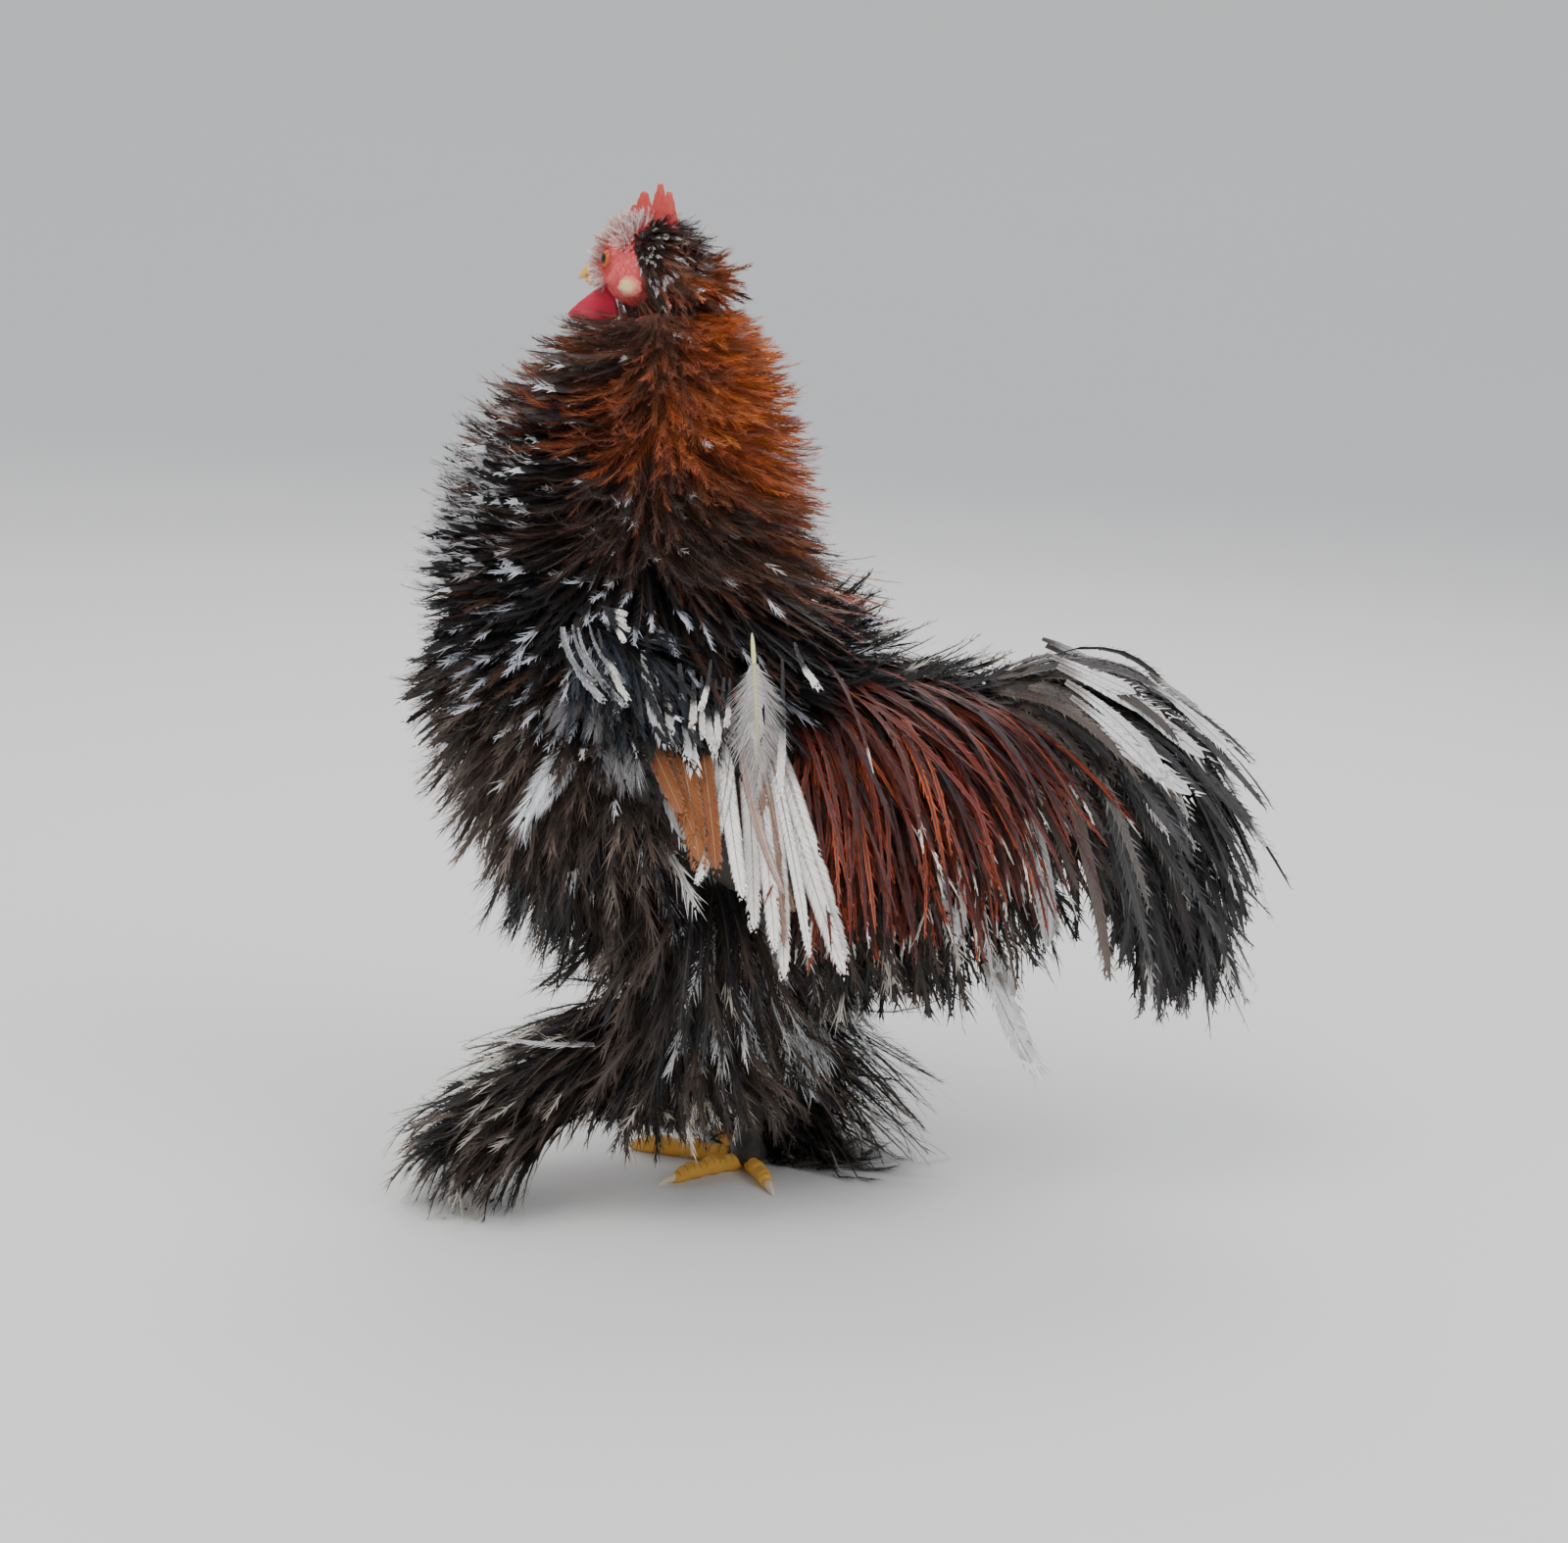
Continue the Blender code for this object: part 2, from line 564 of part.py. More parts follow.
def toe_loft(side, number):
    # Knuckles swell and the joints between them are narrow
    start, tip = Vector(FEET[side]), Vector(TOE_TIPS[side][number])
    start.z = min(start.z, 4.2) if side == "right" else start.z - 2
    forward = (tip - start).normalized()
    start += forward * 3
    radius = TOE_RADII[number]
    bumps = (0.8, 1.0, 0.92, 1.08, 0.88, 1.02, 0.8, 0.4)
    rows = []
    for i, bump in enumerate(bumps):
        share = i / (len(bumps) - 1)
        at = start.lerp(tip, share) + UP * (1.2 if side == "right" else 4.5) * math.sin(math.pi * share)
        if side == "right":
            at.z = min(at.z, radius * bump * 0.9 + 0.8 * math.sin(math.pi * share))
        rows.append((*at, radius * bump, radius * bump * 0.92))
    level = UP.cross(forward).normalized()
    return Loft(line_rows(rows, side=level)), forward, level


def make_toe(side, number):
    loft, _, _ = toe_loft(side, number)
    toe = new_object(f"toe_{side}_{number}", *loft.mesh(7, 7))
    cut(toe, floor_cutter(), foot_pad(side, GAP))
    if number != 3:  # the middle toe keeps its root whole
        cut(toe, new_object("toe_cutter", *toe_loft(side, 3)[0].mesh(7, 7, GAP)))
    if number == 1:
        cut(toe, new_object("toe_cutter", *toe_loft(side, 2)[0].mesh(7, 7, GAP)))
    keep_largest(toe)
    return toe


def claw_solid(side, number, grow=0.0):
    loft, forward, level = toe_loft(side, number)
    tip = loft.place(6.6)[0] / MM
    drop = 1.9 if side == "right" else 4.0
    rows = []
    for share, radius in ((0, 1.9), (0.35, 1.7), (0.7, 1.1), (1, 0.35)):
        at = tip + forward * CLAW_LENGTH / MM * share + UP * (0.6 * share - drop * share ** 2)
        rows.append((*at, radius, radius * 0.8))
    return new_object(f"claw_{side}_{number}", *Loft(line_rows(rows, side=level)).mesh(4, 6, grow))


def make_claw(side, number):
    claw = claw_solid(side, number)
    loft = toe_loft(side, number)[0]
    cut(claw, new_object("toe_cutter", *loft.mesh(7, 7, GAP)), floor_cutter(0.2 * MM))
    keep_largest(claw)
    return claw


def build_nodes():
    nodes = {}
    nodes["head"] = (make_head(), "head")
    nodes["comb"] = (make_comb(), "comb")
    nodes["bill_upper"] = (make_bill_upper(), "bill")
    nodes["bill_lower"] = (make_bill_lower(), "bill")
    nodes["rump"] = (body_piece("rump"), "saddle")
    nodes["torso"] = (body_piece("torso"), "breast")
    nodes["neck"] = (body_piece("neck"), "hackle")
    nodes["tail"] = (make_tail_core(), "tail")
    for side in SIDES:
        nodes["eye_" + side] = (make_eye(side), "eye")
        nodes["wattle_" + side] = (make_wattle(side), "wattle")
        nodes["earlobe_" + side] = (make_earlobe(side), "earlobe")
        nodes["wing_" + side] = (make_wing_core(side), "wing")
        nodes["thigh_" + side] = (make_thigh(side), "fluff")
        nodes["hock_" + side] = (make_leg(side, "hock", HOCK_PLACES), "fluff")
        nodes["shank_" + side] = (make_leg(side, "shank", SHANK_PLACES), "fluff")
        nodes["foot_" + side] = (make_foot(side), "foot")
        for number in TOE_RADII:
            nodes[f"toe_{side}_{number}"] = (make_toe(side, number), "foot")
            nodes[f"claw_{side}_{number}"] = (make_claw(side, number), "claw")
    return nodes


class Coat:
    # Grows feathers on the nodes and keeps each clear of every other node
    def __init__(self, nodes):
        self.nodes = nodes
        self.chance = random.Random(SEED)
        self.solids = {name: [self.tree_of(made)] for name, (made, _) in nodes.items()}
        self.feathers = {name: [] for name in nodes}
        self.dropped = {name: 0 for name in nodes}

    @staticmethod
    def tree_of(made):
        points = [v.co.copy() for v in made.data.vertices]
        tree = BVHTree.FromPolygons(points, [tuple(p.vertices) for p in made.data.polygons])
        return bounds_of(points), tree

    def clear(self, name, points, faces):
        low, high = bounds_of(points)
        if low.z < FLOOR_CLEAR * 0.5:
            return None
        tree = BVHTree.FromPolygons(points, faces)
        for other, solids in self.solids.items():
            if other == name:
                continue
            for (other_low, other_high), other_tree in solids:
                apart = any(low[k] > other_high[k] or high[k] < other_low[k] for k in range(3))
                if not apart and tree.overlap(other_tree):
                    return None
        return (low, high), tree

    def grow(self, name, root, lie, normal, length, width, lift, curl):
        for share, more in RETRIES:
            size = (length * share * MM, width * MM * (0.6 + 0.4 * share))
            angles = (math.radians(lift + more), math.radians(curl))
            fat = self.clear(name, *vane(root, lie, normal, *size, *angles, CLEAR))
            if fat:
                self.solids[name].append(fat)
                self.feathers[name].append(new_object("feather", *vane(root, lie, normal, *size, *angles)))
                return True
        self.dropped[name] += 1
        return False

    def rows(self, name, loft, table, way, droop=0.0, middle=None, back=0.0):
        # way is -1 where the feathers lie against the line's direction, and back makes those above longer and more curled
        vary = self.chance.uniform
        for number, (t, count, start, end, length, width, lift, curl) in enumerate(table):
            for turn in spread(count, start, end, number, middle):
                turn += math.radians(vary(-5, 5))
                here, normal, along = loft.frame(min(max(t + vary(-0.08, 0.08), 0.05), loft.last - 0.05), turn)
                lie = along * way + Vector((0, 0, -droop)) + normal.cross(along) * vary(-0.22, 0.22)
                lie = (lie - normal * lie.dot(normal)).normalized()
                long = length * vary(0.88, 1.12) * (1 + back * math.cos(turn))
                curled = (curl + vary(-14, 14)) * (1 + back * math.cos(turn))
                self.grow(name, here, lie, normal, long, width * vary(0.9, 1.1), lift + vary(-5, 5), curled)

    def join(self, name):
        join(self.nodes[name][0], self.feathers[name], "MANIFOLD")


def bounds_of(points):
    low = Vector([min(p[k] for p in points) for k in range(3)])
    high = Vector([max(p[k] for p in points) for k in range(3)])
    return low, high


def spread(count, start, end, number, middle):
    # Turns round a line in radians. A row from 0 to 180 goes all the way round, another stays on both sides of
    # its gap, and one with a middle lies on one side only.
    if middle is not None:
        step = (end - start) / max(count - 1, 1)
        return [math.radians((start + step * i) * middle) for i in range(count)]
    if start == 0 and end == 180:
        return [math.radians(360 / count * (i + 0.5 * (number % 2))) for i in range(count)]
    if start == 0:
        step = 2 * end / (count - 1)
        return [math.radians(-end + step * i) for i in range(count)]
    step = 2 * (180 - start) / (count - 1)
    return [math.radians(start + step * i) for i in range(count)]


def vane(root, lie, normal, length, width, lift, curl, grow=0.0):
    # A thin blade that leaves the skin at an angle and curls outward. Its long edges are split alike on both faces.
    across = lie.cross(normal).normalized()
    half = VANE_THICK / 2
    points, faces = [], []
    spot, before = root.copy(), 0.0
    for i, (share, wide) in enumerate(VANE_STEPS):
        for k in range(4):  # small steps along the curl
            s = before + (share - before) * (k + 0.5) / 4
            angle = lift + curl * s ** 1.8
            spot = spot + (lie * math.cos(angle) + normal * math.sin(angle)) * length * (share - before) / 4
        before = share
        angle = lift + curl * share ** 1.8
        face = normal * math.cos(angle) - lie * math.sin(angle)
        centre = spot - normal * SUNK if i == 0 else spot
        centre = Vector((centre.x, centre.y, max(centre.z, FLOOR_CLEAR)))
        if wide == 0:
            points.append(centre + (lie * math.cos(angle) + normal * math.sin(angle)) * grow)
            break
        side = across * (width * wide / 2 + grow)
        depth = face * (half * (0.7 if share > 0.8 else 1.0) + grow)
        points += [centre - side - depth, centre + side - depth, centre + side + depth, centre - side + depth]
    rings = len(VANE_STEPS) - 1
    for i in range(rings - 1):
        a, b = 4 * i, 4 * i + 4
        faces += [(a, b + 1, a + 1), (a, b, b + 1)]  # the inner face and the outer one have the same diagonal
        faces += [(a + 3, a + 2, b + 2), (a + 3, b + 2, b + 3)]
        faces += [(a + 1, b + 1, b + 2), (a + 1, b + 2, a + 2)]
        faces += [(a, b + 3, b), (a, a + 3, b + 3)]
    last, tip = 4 * (rings - 1), len(points) - 1
    faces += [(0, 1, 2), (0, 2, 3)]
    faces += [(last + (k + 1) % 4, last + k, tip) for k in range(4)]
    return points, faces


def mirrored(vector, side):
    x, y, z = vector
    return Vector((x, y * SIDES[side], z))


def grow_wing(coat, side):
    name = "wing_" + side
    loft = Loft(line_rows(WING_LINE, mirror=SIDES[side]))
    vary = coat.chance.uniform
    for root, lie, length, width in FLIGHT_FEATHERS:
        lie = mirrored(lie, side).normalized()
        out = Vector((0, SIDES[side], 0))
        normal = (out - lie * out.dot(lie)).normalized()
        coat.grow(name, mirrored(root, side) * MM, lie, normal, length * vary(0.95, 1.05), width, 4, 22 + vary(-8, 8))
    coat.rows(name, loft, COVERT_ROWS, 1, droop=0.3, middle=SIDES[side])


def grow_leg(coat, side):
    sign, vary = SIDES[side], coat.chance.uniform
    loft = shank_loft(side)
    coat.rows("thigh_" + side, thigh_loft(side), THIGH_ROWS, 1)
    for i, (back, aside, fall, length) in enumerate(HOCK_FEATHERS[side]):
        centre = loft.place(0.5 + 1.8 * i / len(HOCK_FEATHERS[side]))[0]
        lie = Vector((back, sign * aside, fall)).normalized()
        normal = Vector((0.6, sign * (1 if aside >= 0 else -1) * 0.5, 0.6))
        normal = (normal - lie * normal.dot(lie)).normalized()
        coat.grow("hock_" + side, centre + lie * 3 * MM, lie, normal, length, 14, 0, 28 + vary(-8, 12))
    for i, (ahead, aside, fall, length) in enumerate(FOOT_FEATHERS[side]):
        lie = Vector((-ahead, sign * aside, fall)).normalized()
        centre = loft.place(2.7 + 1.7 * i / len(FOOT_FEATHERS[side]))[0] + Vector((0, sign * 2 * MM, 0))
        normal = Vector((0.3, sign * 0.5, 0.9))
        normal = (normal - lie * normal.dot(lie)).normalized()
        coat.grow("shank_" + side, centre + lie * 3 * MM, lie, normal, length, 16, 2, 20 + vary(-12, 12))


def main():
    for old in list(bpy.data.objects):
        bpy.data.objects.remove(old)
    chicken = bpy.data.collections.new("frizzle_chicken")
    bpy.context.scene.collection.children.link(chicken)
    nodes = build_nodes()
    coat = Coat(nodes)
    body = Loft(body_rows())
    for side in SIDES:
        grow_wing(coat, side)
        grow_leg(coat, side)
    coat.rows("head", head_loft(), HEAD_ROWS, -1, droop=0.45)
    for turn, back, length in UNDER_TAIL:
        root = body.point(0.9, math.radians(180 - turn))
        lie = Vector((back, 0.004 * turn, -1)).normalized()
        normal = (Vector((1, 0, 0)) - lie * lie.x).normalized()
        coat.grow("rump", root, lie, normal, length, 16, 4, 24)
    coat.rows("tail", Loft(line_rows(TAIL_LINE)), TAIL_ROWS, 1, droop=0.25, back=-0.45)
    coat.rows("neck", body, NECK_ROWS, -1, back=0.16)
    coat.rows("torso", body, TORSO_ROWS, -1)
    coat.rows("rump", body, RUMP_ROWS, -1, droop=0.4, back=-0.15)
    for name, feathers in coat.feathers.items():
        if feathers:
            print(name, len(feathers), "feathers,", coat.dropped[name], "dropped")
            coat.join(name)
    stand = Matrix.Translation(Vector((-FEET["right"][0], -FEET["right"][1], 0)) * MM)
    for name, (made, colour) in nodes.items():
        made.name = name
        made.data.transform(stand)  # the origin goes to the floor under the standing foot
        finish_node(made, colour, chicken)


main()
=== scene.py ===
# A frizzle chicken for display: one skin, a fine head and feet, and a coat of loose curled feathers.
# It faces -X with its left side towards -Y. The tables are in millimetres.
import math
import bmesh
import bpy
import numpy as np
from mathutils import Matrix, Vector


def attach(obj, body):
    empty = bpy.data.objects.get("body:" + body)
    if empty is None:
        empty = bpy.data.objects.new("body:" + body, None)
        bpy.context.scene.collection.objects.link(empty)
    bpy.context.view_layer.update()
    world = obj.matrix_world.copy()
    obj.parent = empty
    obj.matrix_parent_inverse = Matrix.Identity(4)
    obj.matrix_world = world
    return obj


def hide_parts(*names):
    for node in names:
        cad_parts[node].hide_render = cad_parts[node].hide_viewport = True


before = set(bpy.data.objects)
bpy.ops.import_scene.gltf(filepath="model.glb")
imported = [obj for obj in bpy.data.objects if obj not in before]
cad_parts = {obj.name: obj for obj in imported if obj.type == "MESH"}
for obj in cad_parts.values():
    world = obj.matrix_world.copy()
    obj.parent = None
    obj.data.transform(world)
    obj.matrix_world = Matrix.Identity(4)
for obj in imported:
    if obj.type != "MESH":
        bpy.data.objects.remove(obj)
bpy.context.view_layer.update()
mm = 0.001
sides = {"left": -1, "right": 1}  # the sign of Y
stand = np.array((-12.0, -13.0, 0.0))  # moves the tables' origin under the standing foot
chance = np.random.default_rng(5)


# helpers for curves, meshes and shader nodes

def unit(a):
    return a / np.maximum(np.linalg.norm(a, axis=-1, keepdims=True), 1e-12)


def throughRows(rows, t):
    # a smooth curve through the rows of a table, at many places at once
    last = len(rows) - 1
    t = np.clip(np.asarray(t, float), 0, last)
    i = np.minimum(t.astype(int), last - 1)
    u = (t - i)[..., None]
    a, b, c, d = (rows[np.clip(i + k, 0, last)] for k in (-1, 0, 1, 2))
    bend, turn = 2 * a - 5 * b + 4 * c - d, 3 * b - a - 3 * c + d
    return 0.5 * (2 * b + (c - a) * u + bend * u ** 2 + turn * u ** 3)


def ringFaces(rings, around):
    # the four-sided faces between the rings of a tube
    faces = []
    for i in range(rings):
        for j in range(around):
            k = (j + 1) % around
            faces.append((i * around + j, i * around + k, (i + 1) * around + k, (i + 1) * around + j))
    return faces


class Loft:
    # an oval tube through sections of centre, top vector and side vector
    def __init__(self, rows):
        self.rows = np.array(rows, float)
        self.last = len(rows) - 1

    def point(self, t, turn):
        row = throughRows(self.rows, t)
        top, side = row[..., 3:6], row[..., 6:9]
        return row[..., :3] + top * np.cos(turn)[..., None] + side * np.sin(turn)[..., None]

    def frame(self, t, turn):
        # points on the surface, the normals there and the way along the tube
        step = 0.03
        here = self.point(t, turn)
        along = self.point(np.minimum(t + step, self.last), turn) - self.point(np.maximum(t - step, 0), turn)
        around = self.point(t, turn + step) - self.point(t, turn - step)
        return here, unit(np.cross(around, along)), unit(along)

    def girth(self, t):
        row = throughRows(self.rows, t)
        a, b = np.linalg.norm(row[..., 3:6]), np.linalg.norm(row[..., 6:9])
        return math.pi * (3 * (a + b) - math.sqrt((3 * a + b) * (a + 3 * b)))

    def mesh(self, rings, around):
        t = np.repeat(np.linspace(0, self.last, rings + 1), around)
        turn = np.tile(np.arange(around) * 2 * math.pi / around, rings + 1)
        faces = ringFaces(rings, around)
        faces.append(tuple(reversed(range(around))))
        faces.append(tuple(range(rings * around, (rings + 1) * around)))
        return self.point(t, turn), faces


def lineRows(line, side=(0, 1, 0), mirror=1, share=1.0, shift=stand):
    # sections square to a line of x, y, z, half depth, half width
    line = np.array(line, float) * (1, mirror, 1, share, share)
    line[:, :3] += shift
    line *= mm
    rows = []
    for i, (x, y, z, depth, width) in enumerate(line):
        tangent = unit(line[min(i + 1, len(line) - 1), :3] - line[max(i - 1, 0), :3])
        across = unit(np.array(side, float) - tangent * np.dot(tangent, side))
        rows.append((x, y, z, *(np.cross(across, tangent) * depth), *(across * width)))
    return rows


def linked(name, data):
    made = bpy.data.objects.new(name, data)
    bpy.context.scene.collection.objects.link(made)
    return made


def smoothed(mesh):
    mesh.polygons.foreach_set("use_smooth", [True] * len(mesh.polygons))
    return mesh


def slope(value, low, high):
    return np.clip((value - low) / (high - low), 0, 1)


def roundEnd(s, begins, power, least):
    # 1 up to a place, then down to a rounded end
    return np.sqrt(np.clip(1 - slope(s, begins, 1) ** power, least, 1))


def newPiece(name, points, faces):
    mesh = bpy.data.meshes.new(name)
    mesh.from_pydata([tuple(p) for p in points], [], faces)
    mesh.update()
    return linked(name, smoothed(mesh))


def fromForm(name, form):
    mesh = bpy.data.meshes.new(name)
    form.to_mesh(mesh)
    form.free()
    return linked(name, smoothed(mesh))


def localRows(line):
    # sections in the head's own frame
    return lineRows(line, shift=np.zeros(3))


def newBall(name, radius, finer):
    ball = bmesh.new()
    bmesh.ops.create_icosphere(ball, subdivisions=finer, radius=radius)
    return fromForm(name, ball)


def applyModifiers(made):
    # keeps the evaluated mesh and drops the modifiers
    bpy.context.view_layer.update()
    done = bpy.data.meshes.new_from_object(made.evaluated_get(bpy.context.evaluated_depsgraph_get()))
    made.modifiers.clear()
    made.data = smoothed(done)
    return made


def remeshed(made, voxel, smoothing):
    remesh = made.modifiers.new("remesh", "REMESH")
    remesh.mode = "VOXEL"
    remesh.voxel_size = voxel * mm
    relax = made.modifiers.new("relax", "SMOOTH")
    relax.iterations = smoothing
    relax.factor = 0.5
    return applyModifiers(made)


def joined(name, parts):
    points, faces = [], []
    for part in parts:
        start = len(points)
        points += [part.matrix_world @ v.co for v in part.data.vertices]
        faces += [tuple(start + i for i in p.vertices) for p in part.data.polygons]
        bpy.data.objects.remove(part)
    return newPiece(name, points, faces)


def getPoints(made):
    points = np.empty(len(made.data.vertices) * 3, np.float32)
    made.data.vertices.foreach_get("co", points)
    return points.reshape(-1, 3).astype(float)


def setPoints(made, points):
    made.data.vertices.foreach_set("co", np.asarray(points, np.float32).ravel())
    made.data.update()


def setAttribute(mesh, name, kind, values):
    field = {"FLOAT": "value", "FLOAT_VECTOR": "vector", "FLOAT_COLOR": "color"}[kind]
    mesh.attributes.new(name, kind, "POINT").data.foreach_set(field, np.asarray(values, np.float32).ravel())


def lumps(points, scale, seed):
    # smooth made-up relief from waves in changing directions, in three layers of four
    waves = np.random.default_rng(seed)
    total = np.zeros(len(points))
    for wave in range(12):
        way = unit(waves.normal(size=3))
        finer = 0.62 ** (wave // 4)
        total += np.sin(points @ way / (scale * finer * mm) * 2 * math.pi + waves.uniform(0, 6.28)) * finer
    return total / 4.8


def roughen(made, at, *layers):
    # moves the points at out by smooth relief: height, wave length and seed of each layer
    normals = np.array([v.normal for v in made.data.vertices])
    relief = sum(height * lumps(at, scale, seed) for height, scale, seed in layers)
    setPoints(made, at + normals * relief[:, None] * mm)


class Finish:
    # one material, built node by node
    def __init__(self, name, **values):
        self.material = bpy.data.materials.new(name)
        self.material.use_nodes = True
        self.nodes, self.links = self.material.node_tree.nodes, self.material.node_tree.links
        self.shader = self.nodes["Principled BSDF"]
        for key, value in values.items():
            self.shader.inputs[key.replace("_", " ")].default_value = value

    def add(self, kind, inputs=(), **fields):
        node = self.nodes.new(kind)
        for key, value in fields.items():
            setattr(node, key, value)
        for key, value in dict(inputs).items():
            self.put(node.inputs[key], value)
        return node

    def put(self, socket, value):
        if isinstance(value, bpy.types.NodeSocket):
            self.links.new(value, socket)
        else:
            socket.default_value = value

    def field(self, name, socket="Fac"):
        return self.add("ShaderNodeAttribute", attribute_name=name).outputs[socket]

    def sum(self, kind, a, b=0.0, c=0.0):
        return self.add("ShaderNodeMath", {0: a, 1: b, 2: c}, operation=kind).outputs[0]

    def reach(self, value, low, high, toLow=0.0, toHigh=1.0, smooth=True):
        how = "SMOOTHSTEP" if smooth else "LINEAR"
        values = {"Value": value, "From Min": low, "From Max": high, "To Min": toLow, "To Max": toHigh}
        return self.add("ShaderNodeMapRange", values, interpolation_type=how).outputs["Result"]

    def mix(self, share, a, b, kind="MIX"):
        # a node of this type has its share in socket 0, its colours in 6 and 7 and its result in 2
        values = {0: share, 6: colour(a), 7: colour(b)}
        return self.add("ShaderNodeMix", values, data_type="RGBA", blend_type=kind).outputs[2]

    def ramp(self, value, stops):
        node = self.add("ShaderNodeValToRGB", {"Fac": value})
        while len(node.color_ramp.elements) < len(stops):
            node.color_ramp.elements.new(0.5)
        for element, (place, shade) in zip(node.color_ramp.elements, stops):
            element.position = place
            element.color = colour(shade)
        return node.outputs["Color"]

    def noise(self, scale, detail, vector=None):
        values = {"Scale": scale, "Detail": detail, "Roughness": 0.55}
        if vector is not None:
            values["Vector"] = vector
        return self.add("ShaderNodeTexNoise", values).outputs["Fac"]

    def bump(self, height, strength, distance):
        # puts one relief over the last
        node = self.add("ShaderNodeBump", {"Height": height, "Strength": strength, "Distance": distance})
        normal = self.shader.inputs["Normal"]
        if normal.is_linked:
            self.put(node.inputs["Normal"], normal.links[0].from_socket)
        self.put(normal, node.outputs["Normal"])

    def end(self, shade, grain=None, low=0.3, high=0.6, smooth=True):
        # the colour, and a roughness from low to high where the grain is dark and light
        self.put(self.shader.inputs["Base Color"], shade)
        if grain is not None:
            self.put(self.shader.inputs["Roughness"], self.reach(grain, 0.3, 0.7, low, high, smooth))
        return self.material


def colour(value):
    return (*value, 1.0) if isinstance(value, tuple) and len(value) == 3 else value


def finishPiece(made, material, nodes=()):
    made.data.materials.clear()
    made.data.materials.append(material)
    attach(made, "root")
    if nodes:
        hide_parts(*nodes)
    return made


# the bird's lines, as its solids have them

bodyTable = [  # x, z of the back, x, z of the underside, half width
    (91, 195, 98, 181, 10), (70, 201, 90, 161, 25), (42, 205, 66, 137, 41), (19, 209, 29, 119, 51),
    (2, 212, -12, 115, 55), (-6, 214, -58, 126, 56), (-9, 217, -88, 160, 54), (-10, 222, -95, 198, 48),
    (-10, 233, -86, 231, 40), (-10, 251, -73, 256, 32), (-9, 273, -62, 279, 25), (-10, 298, -53, 301, 20),
    (-14, 322, -49, 319, 16), (-23, 341, -46, 334, 11),
]
tailLine = [
    (94, 0, 197, 15, 17), (114, 0, 199, 21, 25), (134, 0, 194, 23, 27),
    (152, 0, 181, 21, 24), (164, 0, 163, 14, 17), (170, 0, 150, 5, 6),
]
wingLine = [
    (-60, 59, 227, 6, 5), (-48, 66, 213, 20, 8), (-24, 71, 188, 27, 9), (0, 72, 163, 26, 9),
    (18, 70, 143, 18, 8), (28, 67, 131, 7, 5),
]
thighLines = {
    "right": [
        (2, 30, 134, 22, 15), (6, 32, 114, 26, 20), (12, 32, 96, 21, 17), (18, 29, 82, 13, 11),
        (22, 26, 74, 6, 6),
    ],
    "left": [
        (-8, -30, 140, 22, 15), (-10, -33, 124, 25, 20), (-10, -35, 110, 18, 16), (-9, -34, 101, 12, 11),
        (-8, -33, 95, 6, 6),
    ],
}
hocks = {"right": (23, 25, 72), "left": (-8, -33, 95)}
feet = {"right": (12, 13, 6), "left": (-45, -27, 43)}
toeTips = {
    "right": {1: (21, -12, 2.6), 2: (-17, -10, 2.6), 3: (-35, 26, 2.8), 4: (-1, 48, 2.6)},
    "left": {1: (-32, -17, 26), 2: (-66, -8, 32), 3: (-83, -24, 32), 4: (-70, -38, 32)},
}
toeRadii = {1: 3.1, 2: 3.4, 3: 3.8, 4: 3.4}


def bodySections():
    rows = []
    for x, z, lowX, lowZ, width in bodyTable:
        centre, top = ((x + lowX) / 2, 0, (z + lowZ) / 2), ((x - lowX) / 2, 0, (z - lowZ) / 2)
        rows.append((*(np.add(centre, stand) * mm), *(np.array(top) * mm), 0, width * mm, 0))
    return rows


def shankSections(side):
    top, low = np.array(hocks[side], float), np.array(feet[side], float) + (0, 0, 3)
    rows = []
    for share, radius in ((0, 5.5), (0.1, 8.0), (0.3, 6.2), (0.6, 5.2), (0.85, 5.4), (1, 6.0)):
        rows.append((*(top + (low - top) * share), radius, radius * 0.9))
    return lineRows(rows, share=0.94)


body = Loft(bodySections())
tail = Loft(lineRows(tailLine, share=0.62))
wings = {side: Loft(lineRows(wingLine, mirror=sign, share=0.85)) for side, sign in sides.items()}
thighs = {side: Loft(lineRows(thighLines[side], share=0.85)) for side in sides}
shanks = {side: Loft(shankSections(side)) for side in sides}


# camera, floor and light

view = {
    "place": (0.0067, -0.983, 0.37), "down": 11.9, "roll": 3.0,
    "focal": 2634.0, "picture": 1600.0, "sensor": 36.0,
}


def makeCamera():
    down, roll = math.radians(view["down"]), math.radians(view["roll"])
    ahead = Vector((0, math.cos(down), -math.sin(down)))
    right = Vector((1, 0, 0))
    top = right.cross(ahead)
    leant = right * math.cos(roll) + top * math.sin(roll)
    upright = top * math.cos(roll) - right * math.sin(roll)
    data = bpy.data.cameras.new("camera")
    data.sensor_width = view["sensor"]
    data.lens = view["sensor"] * view["focal"] / view["picture"]
    camera = linked("camera", data)
    turned = Matrix((leant, upright, -ahead)).transposed().to_4x4()
    camera.matrix_world = Matrix.Translation(view["place"]) @ turned
    bpy.context.scene.camera = camera


room = {
    "flat": 4.0, "rim": 7.0, "rimHeight": 2.2, "floorShade": (0.78, 0.77, 0.755),
    "skyShade": (0.86, 0.89, 0.94), "skyPower": 0.9, "aim": (0.02, 0, 0.18),
    "lamps": [  # place, width, power, shade
        ((-0.9, -1.3, 1.9), 1.5, 34.0, (1.0, 0.97, 0.93)),
        ((1.3, -0.9, 1.5), 1.2, 16.0, (0.93, 0.96, 1.0)),
        ((0.2, 1.2, 1.6), 1.4, 14.0, (1.0, 0.98, 0.96)),
    ],
}


